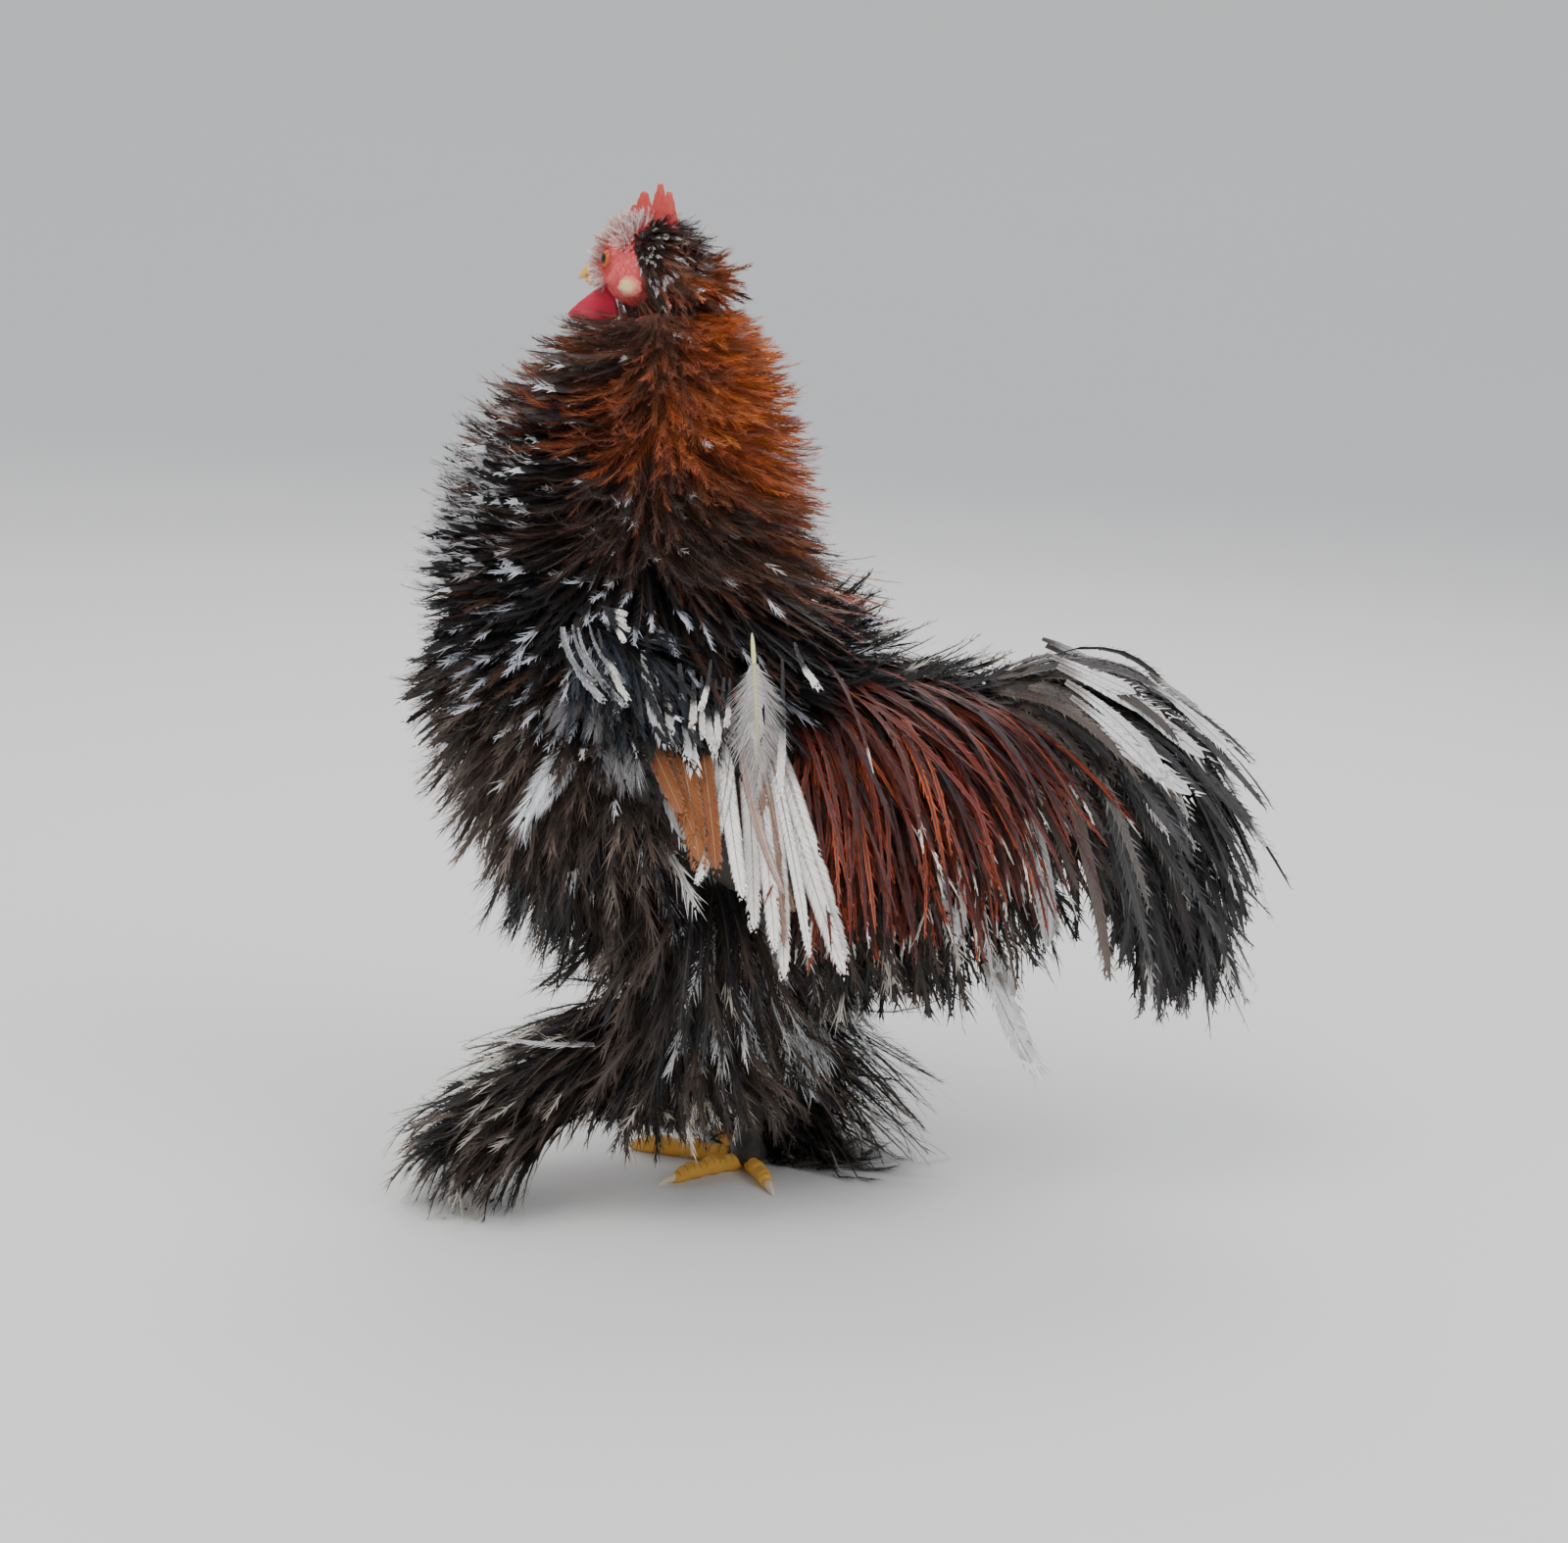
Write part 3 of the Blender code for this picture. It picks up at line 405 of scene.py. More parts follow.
def makeRoom():
    # a round floor that sweeps up far away, so that no edge shows behind the bird
    around = 96
    points, faces = [(0.0, 0.0, 0.0)], []
    reach = [room["flat"] * k / 3 for k in (1, 2, 3)] + list(np.linspace(room["flat"], room["rim"], 13)[1:])
    for r in reach:
        climb = max(r - room["flat"], 0) / (room["rim"] - room["flat"])
        z = room["rimHeight"] * (1 - math.sqrt(max(1 - climb ** 2, 0)))
        points += [(r * math.cos(a), r * math.sin(a), z) for a in np.arange(around) * 2 * math.pi / around]
    faces += [(0, 1 + j, 1 + (j + 1) % around) for j in range(around)]
    for i in range(len(reach) - 1):
        for j in range(around):
            k = (j + 1) % around
            a, b = 1 + i * around, 1 + (i + 1) * around
            faces.append((a + j, b + j, b + k, a + k))
    floor = newPiece("floor", points, faces)
    paint = Finish("floorPaint", Roughness=0.85)
    grain = paint.noise(5.0, 4.0)
    shade = room["floorShade"]
    floor.data.materials.append(paint.end(paint.mix(grain, shade, tuple(v * 1.04 for v in shade))))
    world = bpy.data.worlds.new("studio")
    world.use_nodes = True
    sky = world.node_tree.nodes["Background"].inputs
    sky["Color"].default_value, sky["Strength"].default_value = colour(room["skyShade"]), room["skyPower"]
    bpy.context.scene.world = world
    for i, (place, width, power, shade) in enumerate(room["lamps"]):
        data = bpy.data.lights.new(f"lamp{i}", "AREA")
        data.size, data.energy, data.color = width, power, shade
        lamp = linked(f"lamp{i}", data)
        lamp.location = place
        lamp.rotation_mode = "QUATERNION"
        lamp.rotation_quaternion = (Vector(room["aim"]) - Vector(place)).to_track_quat("-Z", "Y")


makeCamera()
makeRoom()
print("camera, floor and lamps placed")


# the head: skull, eyes, comb, wattles, earlobes and bill

head = {
    "place": (-43, 10, 352), "yaw": 46,  # turned away from its left side
    "line": [
        (-20, 0, 1, 3, 3), (-17, 0, 1, 10, 9), (-10, 0, 1, 15, 12.5), (-2, 0, 0.5, 16.5, 13),
        (6, 0, 0, 15.5, 12), (13, 0, -0.8, 11.8, 9.2), (18, 0, -1.8, 8.2, 6.6), (21, 0, -2.6, 6.0, 4.8),
    ],
    "eye": (7.5, 9.3, 2.8), "eyeRadius": 4.3, "mouth": -4.0,
}


def headMatrix():
    yaw = math.radians(head["yaw"])
    forward = Vector((-math.cos(yaw), math.sin(yaw), 0))
    left = Vector((0, 0, 1)).cross(forward)
    turn = Matrix((forward, left, Vector((0, 0, 1)))).transposed().to_4x4()
    return Matrix.Translation(Vector(np.add(head["place"], stand) * mm)) @ turn


headFrame = headMatrix()


def toHead(made):
    made.data.transform(headFrame)
    return made


def inHead(points):
    # world points in the head's own frame, in millimetres
    back = np.array(headFrame.inverted())
    return (points @ back[:3, :3].T + back[:3, 3]) / mm


def headSections():
    # the head's own sections, placed in the world
    turn, place = np.array(headFrame)[:3, :3], np.array(headFrame)[:3, 3]
    rows = np.array(localRows(head["line"]))
    return [(*(turn @ r[:3] + place), *(turn @ r[3:6]), *(turn @ r[6:9])) for r in rows]


skull = Loft(headSections())


def eyeAxis(sign):
    return np.array(head["eye"]) * (1, sign, 1), unit(np.array((0.28, sign, 0.06)))


skinLook = {
    "voxel": 2.6, "face": (0.70, 0.050, 0.060), "facePale": (0.83, 0.16, 0.16), "ring": (0.40, 0.015, 0.022),
    "warts": (0.90, 0.40, 0.33), "down": (0.018, 0.014, 0.012), "rust": (0.11, 0.032, 0.010),
    # swellings round the eye: height, distance from its axis and spread
    "lid": (1.5, 4.3, 0.85), "brow": (0.9, 6.2, 1.5), "cheek": (0.9, 8.5, 2.2),
    "socket": (2.2, 2.4, 3.8),  # depth, and where its slope begins and ends
    "pad": (8.2, 8.2, 6.4),
}


def swell(ring, height, radius, spread):
    return height * np.exp(-((ring - radius) / spread) ** 2)


def roundEyes(at):
    # for each eye: its axis, and how far the points are from it in all, along it and square to it
    for sign in (-1, 1):
        eye, out = eyeAxis(sign)
        away = at - eye
        depth = away @ out
        yield out, away, depth, np.linalg.norm(away - depth[:, None] * out, axis=1)


def makeSkull():
    points, faces = Loft(localRows(head["line"])).mesh(70, 88)
    at = points / mm
    for out, away, depth, ring in roundEyes(at):
        lid, brow, cheek = (swell(ring, *skinLook[key]) for key in ("lid", "brow", "cheek"))
        deep, begins, ends = skinLook["socket"]
        relief = lid + brow * (away[:, 2] > 1.5) + cheek * (away[:, 2] < -2)
        relief -= deep * (1 - slope(ring, begins, ends))
        at += out * ((depth > 0) * relief)[:, None]
    made = newPiece("skull", at * mm, faces)
    roughen(made, at * mm, (0.22, 2.6, 3), (0.15, 7.0, 8))
    return toHead(made)


def makeSkin():
    parts = [newPiece("part", *body.mesh(60, 48)), newPiece("part", *tail.mesh(20, 24))]
    for side in sides:
        parts += [newPiece("part", *wings[side].mesh(24, 24)), newPiece("part", *thighs[side].mesh(20, 24))]
        parts.append(newPiece("part", *shanks[side].mesh(20, 20)))
        pad = newBall("pad", 1, 3)
        setPoints(pad, (getPoints(pad) * np.array(skinLook["pad"]) + feet[side] + stand) * mm)
        parts.append(pad)
    flesh = remeshed(joined("skin", parts), skinLook["voxel"], 4)
    points = getPoints(flesh)
    points[:, 2] = np.maximum(points[:, 2], 0.0)
    setPoints(flesh, points)
    skullPiece = makeSkull()
    union = flesh.modifiers.new("union", "BOOLEAN")
    union.operation = "UNION"
    union.solver = "EXACT"
    union.object = skullPiece
    applyModifiers(flesh)
    bpy.data.objects.remove(skullPiece)
    return flesh


def skinFinish():
    look = skinLook
    paint = Finish("skinFinish", Specular_IOR_Level=0.45, Subsurface_Weight=0.12, Subsurface_Scale=0.002)
    bare, ring, rusty = paint.add("ShaderNodeSeparateXYZ", {0: paint.field("marks", "Vector")}).outputs
    broad, fine = paint.noise(260.0, 5.0), paint.noise(900.0, 4.0)
    face = paint.mix(paint.reach(broad, 0.38, 0.66), look["face"], look["facePale"])
    face = paint.mix(paint.reach(fine, 0.50, 0.75, 0, 0.45), face, look["warts"])
    face = paint.mix(ring, face, look["ring"])
    coat = paint.mix(paint.reach(broad, 0.3, 0.7), look["down"], tuple(v * 2.2 for v in look["down"]))
    coat = paint.mix(rusty, coat, look["rust"])
    paint.bump(fine, 0.5, 0.0005)
    paint.bump(broad, 0.35, 0.0008)
    return paint.end(paint.mix(bare, coat, face), fine, 0.42, 0.62)


def dressSkin():
    skin = makeSkin()
    at = getPoints(skin)
    local = inHead(at)
    face = slope(local[:, 0], -13, -10) * slope(local[:, 2], -22, -18)
    ring = np.zeros(len(at))
    for out, away, depth, gap in roundEyes(local):
        ring = np.maximum(ring, np.exp(-(np.maximum(gap - 4.0, 0) / 1.3) ** 2) * (depth > -1))
    rust = slope(at[:, 2] / mm, 245, 285) * (1 - face)
    setAttribute(skin.data, "marks", "FLOAT_VECTOR", np.stack([face, ring * face, rust], 1))
    flesh = ["head", "neck", "torso", "rump", "tail"]
    flesh += [f"{part}_{side}" for part in ("wing", "thigh", "hock", "shank", "foot") for side in sides]
    finishPiece(skin, skinFinish(), flesh)
    print("skin:", len(skin.data.polygons), "faces")


dressSkin()

eyeLook = {
    "iris": (0.42, 0.075, 0.008), "irisInner": (0.66, 0.17, 0.015), "rim": (0.05, 0.012, 0.008),
    "black": (0.004, 0.004, 0.004), "pupil": 0.31,
}


def eyeFinish():
    look = eyeLook
    paint = Finish("eyeFinish", Roughness=0.2, Specular_IOR_Level=0.2,
                   Coat_Weight=0.5, Coat_Roughness=0.03, Coat_IOR=1.3)
    angle, across, up = paint.add("ShaderNodeSeparateXYZ", {0: paint.field("gaze", "Vector")}).outputs
    spokes = paint.noise(9.0, 4.0, paint.add("ShaderNodeCombineXYZ", {0: across, 1: up}).outputs[0])
    iris = paint.mix(paint.reach(spokes, 0.3, 0.7), look["iris"], look["irisInner"])
    shade = paint.mix(paint.reach(angle, look["pupil"] - 0.02, look["pupil"] + 0.03), look["black"], iris)
    shade = paint.mix(paint.reach(angle, 0.62, 0.78), shade, look["rim"])
    paint.bump(spokes, 0.06, 0.0003)
    return paint.end(shade)


def makeEye(side):
    at, out = eyeAxis(-sides[side])
    eye = newBall("eye_" + side, head["eyeRadius"] * mm, 5)
    points = unit(getPoints(eye))
    across = unit(np.cross(out, (0, 0, 1)))
    top = np.cross(across, out)
    angle = np.arccos(np.clip(points @ out, -1, 1)) / (math.pi / 2)
    bulge = 1 + 0.06 * np.exp(-(angle / 0.4) ** 2)  # the cornea stands a little proud
    setPoints(eye, points * bulge[:, None] * head["eyeRadius"] * mm + at * mm)
    spin = unit(np.stack([points @ across, points @ top], 1))
    setAttribute(eye.data, "gaze", "FLOAT_VECTOR", np.column_stack([angle, spin]))
    finishPiece(toHead(eye), eyeFinish(), ["eye_" + side])


combLook = {
    "points": [(6.5, 23.5), (1.5, 28.5), (-6.5, 31.5), (-13, 28.5)],  # x and height
    "thick": 2.9, "voxel": 0.45, "deep": (0.50, 0.020, 0.022), "bright": (0.82, 0.12, 0.10),
    "heights": (5, 14, 24, 31), "swell": (1.7, 1.15, 0.95, 0.7), "wart": (0.92, 0.36, 0.30),
}


def redFinish(name, deep, bright, scale=700.0):
    # warty red flesh of comb and wattles
    paint = Finish(name, Specular_IOR_Level=0.5, Subsurface_Weight=0.25, Subsurface_Scale=0.0025)
    broad, fine = paint.noise(160.0, 4.0), paint.noise(scale, 4.0)
    warts = paint.add("ShaderNodeTexVoronoi", {"Scale": scale * 0.8}, feature="F1").outputs["Distance"]
    shade = paint.mix(paint.reach(broad, 0.3, 0.7), deep, bright)
    shade = paint.mix(paint.reach(fine, 0.55, 0.8, 0, 0.45), shade, combLook["wart"])
    paint.bump(warts, 0.55, 0.0004)
    paint.bump(fine, 0.3, 0.0003)
    return paint.end(shade, fine, 0.35, 0.6)


def makeComb():
    outline = [(10, 8), (10.5, 16)]
    points = combLook["points"]
    for i, (x, height) in enumerate(points):
        for ahead, below in ((2.4, 4.5), (0.6, 0.8), (0, 0), (-0.9, 1.0), (-2.0, 4.0)):
            outline.append((x + ahead, height - below))
        if i + 1 < len(points):
            following, nextHeight = points[i + 1]
            outline.append(((x + following) / 2 - 0.2, min(height, nextHeight) - 7.5))
    outline += [(-17, 16), (-14, 6)]
    form = bmesh.new()
    front = [form.verts.new((x * mm, -combLook["thick"] / 2 * mm, z * mm)) for x, z in outline]
    face = form.faces.new(front)
    drawn = bmesh.ops.extrude_face_region(form, geom=[face])
    raised = [g for g in drawn["geom"] if isinstance(g, bmesh.types.BMVert)]
    bmesh.ops.translate(form, verts=raised, vec=(0, combLook["thick"] * mm, 0))
    bmesh.ops.triangulate(form, faces=form.faces)
    bmesh.ops.recalc_face_normals(form, faces=form.faces)
    comb = remeshed(fromForm("comb", form), combLook["voxel"], 6)
    at = getPoints(comb)
    height = at[:, 2] / mm
    thicker = np.interp(height, combLook["heights"], combLook["swell"])
    at[:, 1] = at[:, 1] * thicker + 0.8 * mm * np.sin(at[:, 0] / mm * 0.35) * slope(height, 14, 24)
    roughen(comb, at, (0.22, 2.4, 21))
    finishPiece(toHead(comb), redFinish("combFinish", combLook["deep"], combLook["bright"]), ["comb"])


wattleLook = {
    "hang": (16, 5, -7), "drop": 15.0, "lean": (0.25, 0.3), "topHalf": 2.6, "lowHalf": 10.5, "thick": 1.5,
    "deep": (0.52, 0.006, 0.040), "bright": (0.80, 0.035, 0.10),
}


def makeWattle(side):
    # a thin lobe that widens downwards, with a thicker lower rim
    look, sign = wattleLook, -sides[side]
    share, turn = np.meshgrid(np.linspace(0, 1, 45), np.arange(48) * 2 * math.pi / 48, indexing="ij")
    half = look["topHalf"] + (look["lowHalf"] - look["topHalf"]) * np.sin(share * math.pi / 2) ** 1.3
    start, end = (np.clip(v * 9, 0, 1) ** 0.5 for v in (share, 1 - share))
    half = half * roundEnd(share, 0.72, 2.4, 0) * start
    thick = look["thick"] * (0.7 + 0.7 * share ** 3) * end * start
    across, depth = half * np.cos(turn), thick * np.sin(turn)
    depth = depth + 1.1 * np.sin(share * 3.2) + 0.9 * np.sin(across * 0.42 + share * 2) * share
    down = share * look["drop"] - 0.012 * across ** 2 * share
    broad, face = unit(np.array((1, 0.85 * sign, 0.0))), unit(np.array((-0.85 * sign, 1, 0.0)))
    swing = np.array((look["lean"][0], look["lean"][1] * sign, -1.0))
    at = np.array(look["hang"], float) * (1, sign, 1)
    at = at + across[..., None] * broad + (depth * sign)[..., None] * face + down[..., None] * swing
    lobe = newPiece("wattle_" + side, at.reshape(-1, 3) * mm, ringFaces(44, 48))
    form = bmesh.new()
    form.from_mesh(lobe.data)
    bmesh.ops.remove_doubles(form, verts=form.verts, dist=0.01 * mm)
    bmesh.ops.recalc_face_normals(form, faces=form.faces)
    form.to_mesh(lobe.data)
    form.free()
    roughen(lobe, getPoints(lobe), (0.16, 2.2, 33))
    paint = redFinish("wattleFinish_" + side, look["deep"], look["bright"], 600.0)
    finishPiece(toHead(lobe), paint, ["wattle_" + side])


lobeLook = {
    "at": (-6.0, 11.6, -6.4), "radii": (6.4, 2.4, 4.2), "cream": (0.90, 0.66, 0.36),
    "blush": (0.80, 0.20, 0.17),
}


def makeEarlobe(side):
    lobe = newBall("earlobe_" + side, 1, 5)
    at = getPoints(lobe)
    at[:, 0] *= 1 - 0.15 * at[:, 2]
    setAttribute(lobe.data, "rim", "FLOAT", np.hypot(at[:, 0], at[:, 2]))
    relief = 1 + 0.09 * lumps(at * 5 * mm, 3.0, 4)
    at = at * relief[:, None] * lobeLook["radii"] + np.array(lobeLook["at"]) * (1, -sides[side], 1)
    setPoints(lobe, at * mm)
    paint = Finish("earlobeFinish_" + side, Specular_IOR_Level=0.45, Subsurface_Weight=0.2,
                   Subsurface_Scale=0.002)
    broad, fine = paint.noise(220.0, 4.0), paint.noise(800.0, 4.0)
    paint.bump(fine, 0.4, 0.0004)
    share = paint.reach(paint.sum("MULTIPLY_ADD", broad, 1.1, paint.field("rim")), 0.85, 1.45)
    shade = paint.mix(share, lobeLook["cream"], lobeLook["blush"])
    finishPiece(toHead(lobe), paint.end(shade, fine, 0.5, 0.65), ["earlobe_" + side])


billLook = {
    "top": [
        (14, 0, -1.2, 5.2, 5.4), (18, 0, -1.2, 5.0, 5.2), (22, 0, -1.2, 4.4, 4.5), (28, 0, -1.8, 3.4, 3.3),
        (34, 0, -3.0, 2.2, 2.0), (38, 0, -5.0, 0.7, 0.8),
    ],
    "low": [
        (14, 0, -5.8, 3.5, 4.8), (22, 0, -5.8, 2.7, 3.7), (28, 0, -5.9, 1.9, 2.5), (33.5, 0, -6.0, 0.8, 1.0),
    ],
    "horn": (0.84, 0.42, 0.02), "pale": (0.88, 0.58, 0.09), "base": (0.62, 0.30, 0.08), "gape": 1.1,
    "nostril": (24.0, 3.7, -0.4), "nostrilRadii": (1.6, 1.2, 0.8), "nostrilDepth": 1.1,
}


def makeBill(name, line, flatSide):
    # one half of the bill: full outside, flattened towards the mouth
    points, faces = Loft(localRows(line)).mesh(36, 40)
    at = points / mm
    lip = head["mouth"] + billLook["gape"] / 2 * flatSide
    beyond = (at[:, 2] - lip) * flatSide < 0
    tip = np.clip((34.0 - at[:, 0]) / 2.0, 0, 1) if flatSide > 0 else np.ones(len(at))
    at[:, 2] = np.where(beyond, at[:, 2] + (lip - at[:, 2]) * 0.93 * tip, at[:, 2])
    for sign in (-1, 1) if flatSide > 0 else ():
        away = at - np.array(billLook["nostril"]) * (1, sign, 1)
        hole = np.linalg.norm(away / billLook["nostrilRadii"], axis=1)
        at[:, 1] -= sign * billLook["nostrilDepth"] * np.exp(-hole ** 2)
    bill = newPiece(name, at * mm, faces)
    setAttribute(bill.data, "horn", "FLOAT", np.clip((at[:, 0] - 15) / 20, 0, 1))
    paint = Finish(name + "Finish", Coat_Weight=0.15, Coat_Roughness=0.3, Specular_IOR_Level=0.5)
    out, grain = paint.field("horn"), paint.noise(500.0, 4.0)
    shade = paint.mix(paint.reach(out, 0.0, 0.35), billLook["base"], billLook["horn"])
    shade = paint.mix(paint.reach(out, 0.8, 1.15), shade, billLook["pale"])
    shade = paint.mix(paint.reach(grain, 0.4, 0.75, 0, 0.4), shade, billLook["base"])
    paint.bump(grain, 0.25, 0.0003)
    finishPiece(toHead(bill), paint.end(shade, grain, 0.28, 0.45), [name])


for side in sides:
    makeEye(side)
    makeWattle(side)
    makeEarlobe(side)
makeComb()
makeBill("bill_upper", billLook["top"], 1)
makeBill("bill_lower", billLook["low"], -1)
print("head dressed")


# toes and claws

toeLook = {
    "bumps": (0.8, 1.0, 0.92, 1.08, 0.88, 1.02, 0.86, 0.45), "scutes": 11, "scuteRise": 0.42,
    "skin": (0.80, 0.36, 0.03), "pale": (0.92, 0.55, 0.12), "darkerScale": (0.26, 0.13, 0.05),
    "claw": (0.74, 0.56, 0.38), "clawTip": (0.90, 0.80, 0.66), "clawDark": (0.45, 0.30, 0.18),
    "clawLength": 9, "clawRadii": ((0, 2.0), (0.25, 1.95), (0.5, 1.5), (0.75, 0.95), (1, 0.25)),
}


def toeLoft(side, number):
    start, tip = np.array(feet[side], float), np.array(toeTips[side][number], float)
    start[2] = min(start[2], 4.2) if side == "right" else start[2] - 2
    forward = unit(tip - start)
    start = start + forward * 3
    radius = toeRadii[number]
    rows = []
    for i, bump in enumerate(toeLook["bumps"]):
        share = i / (len(toeLook["bumps"]) - 1)
        at = start + (tip - start) * share
        at[2] += (1.2 if side == "right" else 4.5) * math.sin(math.pi * share)
        if side == "right":
            at[2] = min(at[2], radius * bump * 0.9 + 0.8 * math.sin(math.pi * share))
        rows.append((*at, radius * bump, radius * bump * 0.92))
    level = unit(np.cross((0, 0, 1), forward))
    return Loft(lineRows(rows, side=level)), forward, level


def scaleFinish():
    look = toeLook
    paint = Finish("toeScales", Specular_IOR_Level=0.45, Subsurface_Weight=0.06, Subsurface_Scale=0.001)
    broad, fine = paint.noise(180.0, 5.0), paint.noise(1100.0, 3.0)
    shade = paint.mix(paint.reach(broad, 0.35, 0.7), look["skin"], look["pale"])
    # darker in the grooves between the plates, and in fine spots
    shade = paint.mix(paint.reach(paint.field("plate"), 0.18, 0.02, 0, 0.75), shade, look["darkerScale"])
    shade = paint.mix(paint.reach(fine, 0.6, 0.8, 0, 0.4), shade, look["darkerScale"])
    pebbles = paint.add("ShaderNodeTexVoronoi", {"Scale": 900.0}, feature="DISTANCE_TO_EDGE").outputs[0]
    paint.bump(paint.reach(pebbles, 0.0, 0.12), 0.4, 0.0003)
    paint.bump(fine, 0.2, 0.0002)
    return paint.end(shade, fine, 0.38, 0.6)


def clawFinish():
    paint = Finish("clawHorn", Specular_IOR_Level=0.5, Coat_Weight=0.1)
    grain = paint.noise(700.0, 4.0)
    shade = paint.mix(paint.field("horn"), toeLook["claw"], toeLook["clawTip"])
    shade = paint.mix(paint.reach(grain, 0.45, 0.8, 0, 0.5), shade, toeLook["clawDark"])
    paint.bump(grain, 0.2, 0.0002)
    return paint.end(shade, grain, 0.3, 0.5)


def makeToe(side, number, scales):
    loft, forward, level = toeLoft(side, number)
    points, faces = loft.mesh(66, 28)
    rings = np.repeat(np.linspace(0, 1, 67), 28)
    centre = throughRows(loft.rows, rings * loft.last)[:, :3]
    out = unit(points - centre)
    upper = np.clip(out[:, 2] * 2.2 + 0.1, 0, 1)  # plates lie on top, pads below
    phase = (rings * toeLook["scutes"]) % 1.0
    ridge = np.clip(np.minimum(phase * 5, (1 - phase) * 1.4), 0, 1)
    rise = toeLook["scuteRise"] * ridge * upper + 0.5 * (1 - upper) * np.sin(rings * 4 * math.pi) ** 2
    at = points + out * (rise[:, None] - 0.15) * mm
    at[:, 2] = np.maximum(at[:, 2], 0.0)
    toe = newPiece(f"toe_{side}_{number}", at, faces)
    setAttribute(toe.data, "plate", "FLOAT", ridge * upper + 0.6 * (1 - upper))
    finishPiece(toe, scales, [f"toe_{side}_{number}"])
    return throughRows(loft.rows, np.array(6.4))[:3] / mm - stand, forward, level


def makeClaw(side, number, horn, root, forward, level):
    # a curved claw that grows out of the toe's end
    drop = 1.9 if side == "right" else 4.0
    rows = []
    for share, radius in toeLook["clawRadii"]:
        spot = root + forward * toeLook["clawLength"] * share + (0, 0, 0.6 * share - drop * share ** 2)
        rows.append((*spot, radius, radius * 0.8))
    points, faces = Loft(lineRows(rows, side=level)).mesh(24, 18)
    points[:, 2] = np.maximum(points[:, 2], 0.2 * mm)
    claw = newPiece(f"claw_{side}_{number}", points, faces)
    setAttribute(claw.data, "horn", "FLOAT", np.repeat(np.linspace(0, 1, 25), 18))
    finishPiece(claw, horn, [f"claw_{side}_{number}"])


scales, horn = scaleFinish(), clawFinish()
for side in sides:
    for number in (1, 2, 3, 4):
        makeClaw(side, number, horn, *makeToe(side, number, scales))
print("feet dressed")


# feathers: each has a thin web on both sides of its shaft, and loose barbs that make its edge soft
shapes = {  # half width along a feather, from root to tip
    "lance": lambda s: np.clip(1.25 * s ** 0.3 * (1 - s) ** 0.42, 0.1, 1),
    "petal": lambda s: np.interp(s, (0, 0.3, 0.7), (0.35, 0.55, 1)) * roundEnd(s, 0.72, 2, 0.015),
    "blade": lambda s: np.interp(s, (0, 0.2, 0.6, 1), (0.4, 0.9, 1, 0.75)) * roundEnd(s, 0.8, 2, 0.02),
    "fluff": lambda s: np.clip(1.0 - 0.6 * s ** 2, 0, 1) * np.clip(0.5 + 3 * s, 0, 1),
    "bulb": lambda s: np.clip(0.35 + 5 * s, 0, 1) * np.interp(s, (0, 0.45, 0.62, 1), (1, 0.95, 0.42, 0.10)),
}


def rootsOn(loft, plan):
    # staggered rows of roots; turns are degrees to both sides of the tube's top
    low, high = plan["along"]
    first, last = (math.radians(v) for v in plan["turn"])
    flip = plan.get("flip", 0)  # -1 or 1 keeps one side only
    places, turns = [], []
    step = (high - low) / max(plan["rows"] - 1, 1)
    for i in range(plan["rows"]):
        t = low + step * i
        span = last - first
        count = max(2, round(loft.girth(np.array(t)) * span / (2 * math.pi) / (plan["gap"] * mm)))
        turn = first + span * (np.arange(count) + 0.5 * (i % 2) + 0.25) / count
        turn = np.concatenate([turn, -turn]) if flip == 0 else turn * flip
        turn = turn + chance.uniform(-0.5, 0.5, len(turn)) * span / count
        places.append(t + chance.uniform(-0.5, 0.5, len(turn)) * step)
        turns.append(turn)
    return np.clip(np.concatenate(places), 0, loft.last), np.concatenate(turns)


